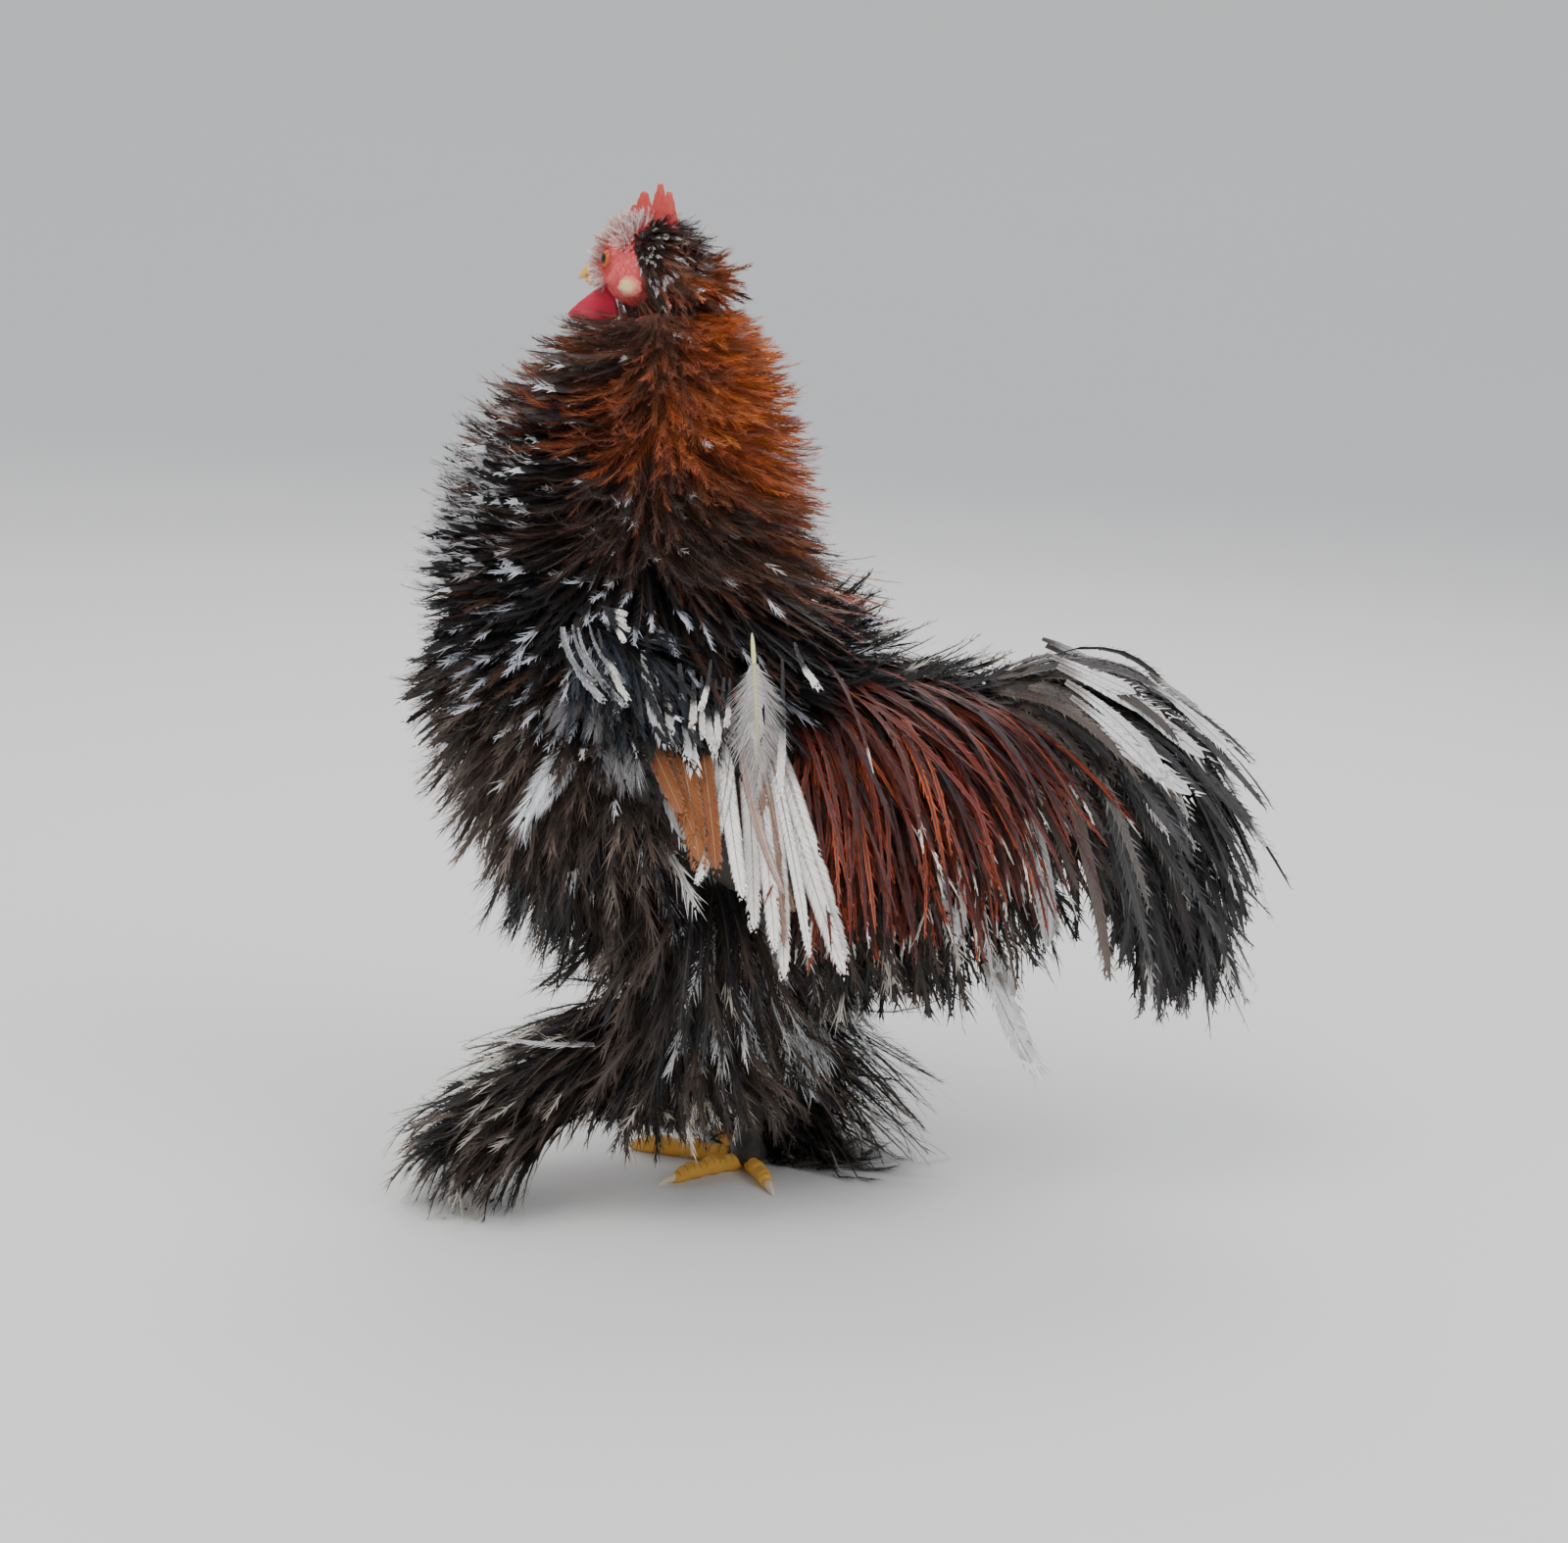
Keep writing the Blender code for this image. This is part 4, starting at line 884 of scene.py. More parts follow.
def layFeathers(loft, plan, at=None):
    # roots, directions and sizes of one group; at gives places and turns
    t, turn = rootsOn(loft, plan) if at is None else at
    root, normal, along = loft.frame(t, turn)
    top = unit(throughRows(loft.rows, t)[:, 3:6])
    lie = plan["way"] * along + np.array(plan.get("pull", (0, 0, 0)), float)
    away = np.degrees(np.abs(turn)) + chance.normal(size=len(t)) * plan.get("partVary", 0)
    level = np.cos(np.radians(np.interp(away, (0, plan.get("part", 90), 180), (0, 90, 180))))
    lie += top * (np.clip(1.3 * level, -1, 1) * plan.get("fan", 0.0))[:, None]
    lie[:, 1] += np.sign(np.sin(turn)) * plan.get("spread", 0.0)
    lie += chance.normal(size=lie.shape) * plan.get("mess", 0.12)
    lie = unit(lie - normal * (lie * normal).sum(1, keepdims=True))
    near = np.array(plan["sizes"], float)
    far = np.array(plan.get("farSizes", plan["sizes"]), float)  # on the side away from the tube's top
    share = np.clip((np.degrees(np.abs(turn)) - 40) / 100, 0, 1)
    length, width, lift, curl = (
        np.interp(t, near[:, 0], near[:, k]) * (1 - share) + np.interp(t, far[:, 0], far[:, k]) * share
        for k in (1, 2, 3, 4))
    lift = lift * (1 - plan.get("flatSides", 0.0) * np.sin(turn) ** 2)
    n = len(t)
    vary = plan.get("vary", 0.18)
    feathers = {
        "root": root - normal * plan.get("sunk", 1.0) * mm, "lie": lie, "normal": normal, "t": t,
        "turn": turn,
        "length": length * chance.uniform(1 - vary, 1 + vary, n) * mm,
        "width": width * chance.uniform(1 - vary, 1 + vary, n) * mm,
        "lift": np.radians(lift + chance.normal(size=n) * plan.get("liftVary", 7)),
        "curl": np.radians(curl + chance.normal(size=n) * plan.get("curlVary", 16)),
        "sway": chance.normal(size=n) * plan.get("sway", 0.18),
        "twist": chance.normal(size=n) * plan.get("twist", 0.35),
        "droop": np.full(n, float(plan.get("droop", 0.0))), "plan": plan,
    }
    for key in ("tone", "pale", "tipped"):
        feathers[key] = np.zeros(n)
    return feathers


def keepOnly(feathers, mask):
    size = len(feathers["t"])
    return {k: v[mask] if isinstance(v, np.ndarray) and len(v) == size else v for k, v in feathers.items()}


def placeOf(feathers):
    # root places in the tables' millimetres
    return feathers["root"] / mm - stand


def shaftsOf(f, s):
    # the bent shaft of every feather, with its side and face directions
    plan, n = f["plan"], len(f["t"])
    across = unit(np.cross(f["lie"], f["normal"]))
    angle = f["lift"][:, None] + f["curl"][:, None] * s ** plan.get("late", 1.6)
    way = f["lie"][:, None] * np.cos(angle)[..., None] + f["normal"][:, None] * np.sin(angle)[..., None]
    way = way + across[:, None] * (f["sway"][:, None] * s)[..., None]
    way[..., 2] -= f["droop"][:, None] * s
    way = unit(way)
    steps = (way[:, :-1] + way[:, 1:]) / 2 * (np.diff(s) * f["length"][:, None])[..., None]
    shaft = f["root"][:, None] + np.concatenate([np.zeros((n, 1, 3)), np.cumsum(steps, 1)], 1)
    side = unit(across[:, None] - way * (across[:, None] * way).sum(-1, keepdims=True))
    face = np.cross(side, way)
    roll = (f["twist"][:, None] * s)[..., None]
    return shaft, way, side * np.cos(roll) + face * np.sin(roll), face * np.cos(roll) - side * np.sin(roll)


def formOf(f, s):
    # half width, share of it that is closed web, how hollow it is, and the barbs' angles at places s
    plan = f["plan"]
    half = f["width"][:, None] / 2 * shapes[plan.get("shape", "lance")](s)
    lean = np.interp(s, (0, 0.5, 1), np.radians(plan.get("lean", (58, 40, 24))))
    return half, plan.get("closed", 0.55), plan.get("cup", 0.12), lean


def webOf(f, s, line, sign, start):
    # the closed web on one side, with notches in its edge
    plan, shaft, _, side, face = f["plan"], *line
    half, closed, cup, lean = formOf(f, s)
    flat = np.broadcast_to(s, half.shape)
    notch = 1 + chance.uniform(-0.12, 0.06, flat.shape) * plan.get("rough", 1.0)
    notch = np.where(chance.uniform(size=flat.shape) < plan.get("splits", 0.12), notch * 0.62, notch)
    out = half * closed * notch
    points = shaft + side * (sign * out)[..., None] + face * (out * cup)[..., None]
    back = out / np.tan(lean) / f["length"][:, None]
    vane = np.stack([sign * closed * notch, flat, flat - back], -1)
    triangles = []
    for i in range(len(s) - 1):
        a, b, c, d = (i, i + 1, start + i + 1, start + i)[::sign]
        triangles += [(a, b, c), (a, c, d)]
    return points, vane, chance.uniform(size=flat.shape), triangles


def barbsOf(f, s, line, sign, start):
    # single barbs on one side, that reach past the web
    plan, n = f["plan"], len(f["t"])
    barbs, loose = plan.get("barbs", 15), plan.get("loose", 0.3)
    size = (n, barbs)
    place = 0.02 + 0.97 * (np.arange(barbs) + chance.uniform(0.1, 0.9, size)) / barbs
    i = np.clip(np.searchsorted(s, place) - 1, 0, len(s) - 2)
    part = ((place - s[i]) / (s[i + 1] - s[i]))[..., None]
    row = np.arange(n)[:, None]
    at, way, side, face = (v[row, i] * (1 - part) + v[row, i + 1] * part for v in line)
    half, closed, cup, lean = formOf(f, place)
    lean = lean + chance.normal(size=size) * 0.09 * (0.5 + loose)
    whole = half / np.sin(np.maximum(lean, 0.25))
    long = whole * chance.uniform(1 - loose * 0.6, 1 + loose * 0.5, size)
    low = whole * closed * 0.7
    out = sign * side * np.sin(lean)[..., None] + way * np.cos(lean)[..., None]
    broad = way * np.sin(lean)[..., None] - sign * side * np.cos(lean)[..., None]
    broad = broad * (plan.get("barb", 0.7) * mm / 2 * chance.uniform(0.7, 1.3, size))[..., None]
    rise = face * (whole * chance.normal(cup, 0.08 + 0.12 * loose, size))[..., None]
    begin = at + out * low[..., None] + face * (low * cup + 0.05 * mm)[..., None]
    end = at + out * long[..., None] + rise
    end[..., 2] -= long * plan.get("hang", 0.0)
    points = np.stack([begin - broad, begin + broad, end], 2).reshape(n, -1, 3)
    gain = np.cos(lean) / f["length"][:, None]
    first = np.stack([sign * low / whole, place + low * gain, place], -1)
    last = np.stack([np.full_like(place, sign), place + long * gain, place], -1)
    vane = np.stack([first, first, last], 2).reshape(n, -1, 3)
    order = (0, 1, 2) if sign < 0 else (1, 0, 2)
    triangles = [tuple(start + 3 * k + v for v in order) for k in range(barbs)]
    return points, vane, np.repeat(chance.uniform(size=size), 3, 1), triangles


def ridgeOf(f, s, line, sign, start):
    # a raised shaft, for large feathers
    n, thick = len(f["t"]), f["plan"]["shaft"] * mm
    shaft, _, side, face = line
    taper = ((1 - 0.85 * s) * thick / 2)[:, None]
    ridge = shaft + face * (taper * 1.2 + 0.04 * mm)
    points = np.stack([shaft - side * taper, ridge, shaft + side * taper], 2).reshape(n, -1, 3)
    place = np.repeat(s, 3)
    vane = np.broadcast_to(np.stack([np.zeros_like(place), place, place], -1), (n, len(place), 3))
    triangles = []
    for i in range(len(s) - 1):
        for k in (0, 1):
            p, q = start + 3 * i + k, start + 3 * (i + 1) + k
            triangles += [(p, p + 1, q + 1), (p, q + 1, q)]
    return points, vane, np.full((n, len(place)), 0.5), triangles


def bladesOf(f):
    # the group's webs, barbs and shafts as points, triangles and values for the finish
    u = np.linspace(0, 1, f["plan"].get("steps", 6) + 1)
    s = 0.5 * u + 0.5 * np.sin(u * math.pi / 2)  # closer together near the tip
    line = shaftsOf(f, s)
    flat = np.broadcast_to(s, line[0].shape[:2])
    parts = [(line[0], np.stack([flat * 0, flat, flat], -1), np.full(flat.shape, 0.5), [])]
    start = len(s)
    makers = [(webOf, -1), (webOf, 1), (barbsOf, -1), (barbsOf, 1)]
    if "shaft" in f["plan"]:
        makers.append((ridgeOf, 0))
    for maker, sign in makers:
        parts.append(maker(f, s, line, sign, start))
        start += parts[-1][0].shape[1]
    points, vane, strand = (np.concatenate([part[k] for part in parts], 1) for k in (0, 1, 2))
    triangles = np.array(sum((part[3] for part in parts), []))
    n = len(points)
    triangles = (triangles[None] + (np.arange(n) * start)[:, None, None]).reshape(-1, 3)
    values = np.stack([f["tone"], f["pale"], f["tipped"], chance.uniform(size=n)], 1)
    return points, triangles, vane, np.repeat(values[:, None], start, 1), strand


def patchMap(f, vane, band):
    # a small patch for each feather at its root's place on the unrolled tube
    low, high = f["plan"]["along"]
    u = (f["turn"] / (2 * math.pi) + 0.5) % 1.0
    v = band[0] + (band[1] - band[0]) * slope(f["t"], low, high)
    u, v = 0.01 + 0.98 * u, 0.01 + 0.98 * v
    return np.stack([u[:, None] + 0.0014 * vane[..., 0], v[:, None] + 0.003 * (vane[..., 1] - 0.5)], -1)


def coatPiece(name, groups, material, nodes=()):
    parts, start = [], 0
    for i, f in enumerate(groups):
        points, triangles, vane, values, strand = bladesOf(f)
        band = ((i + 0.01) / len(groups), (i + 0.99) / len(groups))
        parts.append((points.reshape(-1, 3), triangles + start, vane.reshape(-1, 3), values.reshape(-1, 4),
                      strand.ravel(), patchMap(f, vane, band).reshape(-1, 2)))
        start += len(parts[-1][0])
    points, triangles, vane, values, strand, maps = (np.concatenate(v) for v in zip(*parts))
    # what would go through the floor lies on it
    points[:, 2] = np.where(points[:, 2] < 3 * mm, 0.4 * mm + np.abs(points[:, 2]) * 0.2, points[:, 2])
    mesh = bpy.data.meshes.new(name)
    mesh.vertices.add(len(points))
    mesh.vertices.foreach_set("co", points.astype(np.float32).ravel())
    mesh.loops.add(triangles.size)
    mesh.loops.foreach_set("vertex_index", triangles.astype(np.int32).ravel())
    mesh.polygons.add(len(triangles))
    mesh.polygons.foreach_set("loop_start", np.arange(0, triangles.size, 3, dtype=np.int32))
    mesh.update(calc_edges=True)
    flat = mesh.uv_layers.new(name="OFBake")
    flat.uv.foreach_set("vector", maps[triangles.ravel()].astype(np.float32).ravel())
    setAttribute(mesh, "vane", "FLOAT_VECTOR", vane)
    setAttribute(mesh, "feather", "FLOAT_COLOR", values)
    setAttribute(mesh, "strand", "FLOAT", strand)
    finishPiece(linked(name, mesh), material, nodes)
    print(f"{name}: {sum(len(f['t']) for f in groups)} feathers, {len(triangles)} triangles")


def featherFinish(name, look):
    # tone runs through the ground colours; then a line at the shaft, pale edges, tips and down at the root
    paint = Finish(name, Specular_IOR_Level=look.get("gloss", 0.35), Sheen_Weight=look.get("sheen", 0.04))
    across, along, barb = paint.add("ShaderNodeSeparateXYZ", {0: paint.field("vane", "Vector")}).outputs
    tone, pale, tipped = paint.add("ShaderNodeSeparateColor", {0: paint.field("feather", "Color")}).outputs
    seed, strand = paint.field("feather", "Alpha"), paint.field("strand")
    wide = paint.sum("ABSOLUTE", across)
    hairs = paint.add("ShaderNodeTexNoise", {"Scale": 80.0, "Detail": 2.0}, noise_dimensions="1D")
    paint.put(hairs.inputs["W"], paint.sum("MULTIPLY_ADD", seed, 37.0, barb))
    hair = hairs.outputs["Fac"]
    spotted = paint.add("ShaderNodeCombineXYZ", {0: across, 1: along, 2: paint.sum("MULTIPLY", seed, 61.0)})
    blotch = paint.noise(3.0, 2.0, spotted.outputs[0])
    ground = paint.sum("ADD", tone, paint.sum("MULTIPLY_ADD", blotch, 0.3, -0.15))
    shade = paint.ramp(ground, look["grounds"])
    if "stripe" in look:
        half, soft, strength = look["stripeSize"]
        line = paint.reach(wide, half + soft, half, 0, strength)
        shade = paint.mix(paint.sum("MULTIPLY", line, paint.reach(along, 0.05, 0.25)), shade, look["stripe"])
    whiteness = paint.sum("ADD", pale, paint.sum("MULTIPLY_ADD", blotch, 0.25, -0.12))
    shadow, light = look.get("whiteShadow", (0.68, 0.67, 0.67)), look.get("white", (0.86, 0.85, 0.84))
    white = paint.mix(paint.reach(hair, 0.35, 0.7), shadow, light)
    shade = paint.mix(paint.reach(whiteness, 0.3, 0.7), shade, white)
    # on the flight feathers the brown shaft line and edges go over the white: partly their own brown, partly
    # painted shade where the feathers overlap
    if "edge" in look:
        shade = paint.mix(paint.reach(wide, half + soft, 0.0, 0, strength), shade, look["stripe"])
        begins, strength = look["edgeSize"]
        shade = paint.mix(paint.reach(wide, begins, 1.0, 0, strength), shade, look["edge"])
    begins, soft = look.get("tipSize", (0.72, 0.10))
    rag = look.get("rag", 1.0)
    begins += 0.12 * rag
    ragged = paint.sum("MULTIPLY_ADD", blotch, 0.16 * rag, along)
    ragged = paint.sum("MULTIPLY_ADD", strand, 0.10 * rag, ragged)
    tipMask = paint.sum("MULTIPLY", paint.reach(ragged, begins, begins + soft), tipped)
    shade = paint.mix(tipMask, shade, look.get("tip", (0.80, 0.79, 0.78)))
    downy = paint.reach(along, look.get("downEnd", 0.30), 0.08, 0, look.get("downShare", 0.8))
    shade = paint.mix(downy, shade, look.get("down", (0.05, 0.042, 0.038)))
    # fine streaks along the barbs from the hair noise: the darker ones are partly painted shade between
    # barbs; strand varies each barb's tone at random
    fine = paint.reach(hair, 0.30, 0.70, look.get("streak", 0.62), 1.25, False)
    vary = look.get("strandVary", 0.25)
    streak = paint.sum("MULTIPLY", fine, paint.reach(strand, 0, 1, 1 - vary, 1 + vary, False))
    gray = paint.add("ShaderNodeCombineColor", {0: streak, 1: streak, 2: streak}).outputs[0]
    shade = paint.mix(1.0, shade, gray, "MULTIPLY")
    if "shaft" in look:
        shade = paint.mix(paint.reach(wide, 0.08, 0.02, 0, 0.7), shade, look["shaft"])
    paint.bump(hair, 0.5, 0.0004)
    low, high = look["rough"]
    return paint.end(shade, hair, high, low, False)


# the third colour here is black with a painted blue sheen
black, ink, sheenBlueBlack = (0.006, 0.0055, 0.006), (0.014, 0.012, 0.013), (0.010, 0.014, 0.022)
umber, earth, taupe = (0.034, 0.021, 0.014), (0.085, 0.055, 0.040), (0.20, 0.155, 0.125)
mahogany, rust, amber = (0.16, 0.022, 0.007), (0.47, 0.088, 0.013), (0.66, 0.19, 0.028)

looks = {
    "hackle": {
        "grounds": [
            (0.0, ink), (0.25, (0.05, 0.024, 0.014)), (0.5, (0.20, 0.050, 0.013)), (0.78, rust), (1.0, amber),
        ],
        "stripe": umber, "stripeSize": (0.10, 0.20, 0.45), "tip": (0.70, 0.66, 0.66), "tipSize": (0.82, 0.12),
        "shaft": (0.30, 0.14, 0.08), "rough": (0.34, 0.55), "down": (0.08, 0.045, 0.032), "sheen": 0.12,
    },
    "cape": {
        "grounds": [(0.0, black), (0.2, ink), (0.45, (0.09, 0.036, 0.016)), (0.7, rust), (1.0, amber)],
        "tip": (0.64, 0.67, 0.75), "tipSize": (0.76, 0.12), "shaft": (0.05, 0.03, 0.02),
        "rough": (0.32, 0.55),
        "down": (0.04, 0.030, 0.026), "downShare": 0.4, "rag": 0.6,
    },
    "breast": {
        "grounds": [(0.0, black), (0.35, ink), (0.6, umber), (0.8, earth), (1.0, taupe)],
        "tip": (0.86, 0.87, 0.90), "tipSize": (0.87, 0.03), "rag": 0.22, "shaft": (0.05, 0.04, 0.035),
        "rough": (0.42, 0.65),
        "down": (0.10, 0.085, 0.075), "downShare": 0.5,
    },
    "saddle": {
        "grounds": [
            (0.0, ink), (0.25, (0.035, 0.010, 0.009)), (0.5, (0.115, 0.018, 0.007)),
            (0.75, (0.30, 0.034, 0.008)), (1.0, (0.50, 0.085, 0.010)),
        ],
        "stripe": (0.016, 0.014, 0.020), "stripeSize": (0.12, 0.22, 0.75), "tip": (0.80, 0.77, 0.68),
        "tipSize": (0.90, 0.04),
        "shaft": (0.02, 0.014, 0.018), "rough": (0.36, 0.55), "gloss": 0.4, "downShare": 0.3, "streak": 0.5,
        "rag": 0.5,
    },
    "tail": {
        "grounds": [
            (0.0, black), (0.35, ink), (0.6, (0.045, 0.036, 0.032)), (0.8, earth),
            (1.0, (0.26, 0.185, 0.135)),
        ],
        "tip": (0.70, 0.68, 0.64), "tipSize": (0.86, 0.07), "shaft": (0.07, 0.06, 0.055),
        "rough": (0.28, 0.5),
        "down": (0.13, 0.10, 0.08), "downEnd": 0.30, "gloss": 0.5,
    },
    "wing": {
        "grounds": [
            # the blue-black stop is black with a painted blue sheen
            (0.0, black), (0.3, sheenBlueBlack), (0.55, umber), (0.75, (0.17, 0.042, 0.010)),
            (1.0, (0.27, 0.082, 0.016)),
        ],
        # edge and stripe are partly the flights' own brown lines, partly painted shade where the feathers
        # overlap
        "edge": (0.20, 0.11, 0.065), "edgeSize": (0.62, 0.9), "stripe": (0.34, 0.24, 0.17),
        "stripeSize": (0.02, 0.06, 0.6), "tip": (0.88, 0.87, 0.85), "tipSize": (0.66, 0.05),
        "white": (0.93, 0.925, 0.91), "whiteShadow": (0.86, 0.845, 0.82), "shaft": (0.33, 0.22, 0.15),
        "rough": (0.35, 0.55),
        "streak": 0.76, "strandVary": 0.12,
    },
    "coverts": {
        # the blue stops are black with a painted blue sheen
        "grounds": [(0.0, black), (0.4, sheenBlueBlack), (0.7, (0.016, 0.026, 0.048)), (1.0, umber)],
        "tip": (0.88, 0.86, 0.82), "tipSize": (0.50, 0.22), "rag": 0.5, "rough": (0.28, 0.48), "gloss": 0.5,
        "downShare": 0.2,
        "white": (0.86, 0.86, 0.87), "whiteShadow": (0.58, 0.59, 0.63), "strandVary": 0.12,
    },
    "down": {
        "grounds": [(0.0, umber), (0.45, (0.10, 0.09, 0.09)), (1.0, (0.42, 0.41, 0.43))], "rough": (0.5, 0.7),
        "white": (0.88, 0.89, 0.92), "whiteShadow": (0.70, 0.71, 0.74), "downShare": 0.2, "streak": 0.75,
    },
    "fluff": {
        "grounds": [(0.0, black), (0.35, ink), (0.6, umber), (0.8, earth), (1.0, taupe)],
        "tip": (0.62, 0.56, 0.48), "tipSize": (0.80, 0.12), "rough": (0.45, 0.68),
        "down": (0.035, 0.028, 0.024),
        "shaft": (0.08, 0.065, 0.055),
    },
    "headFeathers": {
        "grounds": [(0.0, ink), (0.35, (0.040, 0.022, 0.017)), (0.7, (0.11, 0.042, 0.022)), (1.0, rust)],
        "tip": (0.62, 0.58, 0.58), "tipSize": (0.70, 0.16), "rough": (0.45, 0.65), "downShare": 0.2,
    },
    "bristles": {
        "grounds": [(0.0, (0.72, 0.34, 0.30)), (0.5, (0.82, 0.58, 0.54)), (1.0, (0.88, 0.80, 0.78))],
        "rough": (0.5, 0.7),
        "downShare": 0.0,
    },
    "loose": {
        "grounds": [(0.0, (0.26, 0.23, 0.22)), (1.0, (0.56, 0.53, 0.52))], "rough": (0.5, 0.7),
        "white": (0.88, 0.87, 0.86), "shaft": (0.62, 0.66, 0.20), "downShare": 0.0,
    },
}
paints = {key: featherFinish(key + "Finish", look) for key, look in looks.items()}


def mark(f, tone, pale=0.0, tipped=0.0, toneVary=0.14):
    # sets the tone, and which feathers are white or tipped; pale and tipped are chances
    n = len(f["t"])
    f["tone"] = np.clip(tone + chance.normal(size=n) * toneVary, 0, 1)
    f["pale"] = (chance.uniform(size=n) < pale).astype(float) * chance.uniform(0.8, 1.0, n)
    f["tipped"] = (chance.uniform(size=n) < tipped).astype(float) * chance.uniform(0.75, 1.0, n)
    return f


def inPatch(at, patches):
    # chance that a feather is white, from round patches of x, z, radius, chance
    chanceHere = np.zeros(len(at))
    for x, z, radius, share in patches:
        away = np.hypot(at[:, 0] - x, at[:, 2] - z)
        chanceHere = np.maximum(chanceHere, share * np.clip(1.6 - away / radius * 1.1, 0, 1))
    return chanceHere


# the neck: hackle above, cape below

hackle = {
    "along": (9.2, 13.0), "rows": 38, "gap": 2.2, "turn": (0, 180), "way": -0.85, "fan": 1.1, "barbs": 25,
    "part": 112, "partVary": 15,
    "sizes": [
        (9, 56, 6.4, 58, 10), (10, 43, 6.4, 50, 26), (11, 35, 6, 48, 40), (12, 27, 5.6, 42, 40),
        (13, 19, 5, 30, 36),
    ],
    "farSizes": [
        (9, 48, 6.4, 46, 34), (10, 49, 6, 58, 34), (11, 43, 5.6, 66, 30), (12, 33, 5, 66, 24),
        (13, 23, 4.6, 70, 20),
    ],
    "loose": 0.6, "mess": 0.09, "closed": 0.16, "lean": (24, 15, 9), "barb": 0.4, "late": 1.3, "sway": 0.14,
    "liftVary": 6, "curlVary": 10, "twist": 0.6, "flatSides": 0.3,
}
ruff = {  # round-tipped feathers on the front of the neck
    "along": (8.6, 12.2), "rows": 27, "gap": 2.9, "turn": (122, 180), "way": -0.8, "fan": 1.0, "barbs": 12,
    "steps": 9,
    "part": 112, "partVary": 10,
    "sizes": [(8.6, 44, 5.6, 42, 30), (10, 47, 5.6, 54, 26), (11, 43, 5.4, 62, 22), (12.2, 33, 5, 64, 16)],
    "vary": 0.24,
    "shape": "petal", "loose": 0.25, "mess": 0.10, "closed": 0.7, "rough": 0.5, "splits": 0.04,
    "lean": (38, 26, 16),
    "liftVary": 6, "curlVary": 10, "barb": 0.6,
}
cape = {
    "along": (7.3, 9.2), "rows": 16, "gap": 2.9, "turn": (0, 180), "way": -1, "fan": 0.6, "barbs": 20,
    "part": 100, "partVary": 14,
    "sizes": [(7.3, 58, 8, 52, 2), (8.4, 62, 7.5, 68, 0), (9.2, 62, 7, 74, 0)],
    "farSizes": [(7.3, 36, 7, 26, 20), (8.4, 42, 7, 36, 24), (9.2, 44, 7, 44, 28)],
    "loose": 0.45, "mess": 0.13, "closed": 0.42, "lean": (34, 22, 14), "barb": 0.5, "flatSides": 0.4,
    "liftVary": 6, "curlVary": 10,
}


def dressNeck():
    f = layFeathers(body, hackle)
    at, turn = placeOf(f), np.degrees(np.abs(f["turn"]))
    back = slope(-turn, -128, -84)
    high = slope(at[:, 2], 280, 300) + 0.5 * slope(-turn, -60, -30) * slope(at[:, 2], 262, 280)
    high = np.clip(high, 0, 1)
    nearHead = slope(at[:, 2], 306, 328) * slope(turn, 50, 90)
    waves = 0.06 * np.sin(at[:, 2] / 4.0 + np.radians(turn) * 5)
    tone = 0.14 + 0.10 * back + high * (0.48 + 0.10 * back) - 0.24 * nearHead + waves
    mark(f, tone, 0.0, 0.02 + 0.30 * (1 - back) * (1 - high) + 0.05 * slope(-turn, -50, -20), 0.10)
    r = layFeathers(body, ruff)
    high = slope(placeOf(r)[:, 2], 280, 306)
    mark(r, 0.16 + 0.5 * high, 0.0, 0.85 - 0.7 * high, 0.16)
    g = layFeathers(body, cape)
    at, turn = placeOf(g), np.degrees(np.abs(g["turn"]))
    back = slope(-turn, -96, -60)
    front = slope(turn, 105, 135)
    over = slope(-turn, -52, -26) * slope(g["t"], 8.3, 9.1)
    tipped = 0.06 + 0.05 * front + 0.32 * (1 - back) * (1 - front)
    mark(g, 0.10 + 0.45 * over + 0.1 * front, 0.0, tipped, 0.13)
    coatPiece("hackleFeathers", [f], paints["hackle"])
    coatPiece("ruffFeathers", [r], paints["breast"])
    coatPiece("capeFeathers", [g], paints["cape"])


dressNeck()

# breast, belly and back

breast = {
    "along": (7.3, 8.9), "rows": 19, "gap": 2.9, "turn": (76, 180), "way": -1, "barbs": 12,
    "sizes": [(7.3, 38, 5.8, 26, 24), (8.0, 39, 5.8, 28, 26), (8.9, 40, 5.8, 32, 30)], "steps": 9,
    "vary": 0.22,
    "shape": "petal", "loose": 0.25, "mess": 0.10, "rough": 0.5, "splits": 0.03, "droop": 0.25,
    "closed": 0.68, "liftVary": 5, "curlVary": 10,
}
softBreast = {
    "along": (5.4, 7.6), "rows": 21, "gap": 3.2, "turn": (70, 180), "way": -1, "barbs": 20, "steps": 6,
    "sizes": [(5.4, 42, 9, 22, 22), (6.6, 40, 9, 26, 24), (7.6, 38, 8, 28, 26)],
    "loose": 0.6, "mess": 0.16, "droop": 0.35, "closed": 0.34, "lean": (34, 21, 12), "barb": 0.55,
}
flank = {
    "along": (2.6, 5.8), "rows": 30, "gap": 4.0, "turn": (58, 180), "way": -1, "pull": (0, 0, -0.6),
    "barbs": 20,
    "sizes": [(2.6, 46, 11, 20, 20), (4.0, 48, 11, 26, 20), (5.8, 46, 10, 28, 24)],
    "shape": "fluff", "loose": 0.6, "mess": 0.24, "droop": 0.45, "closed": 0.34, "steps": 5,
    "lean": (34, 21, 12), "barb": 0.6,
}
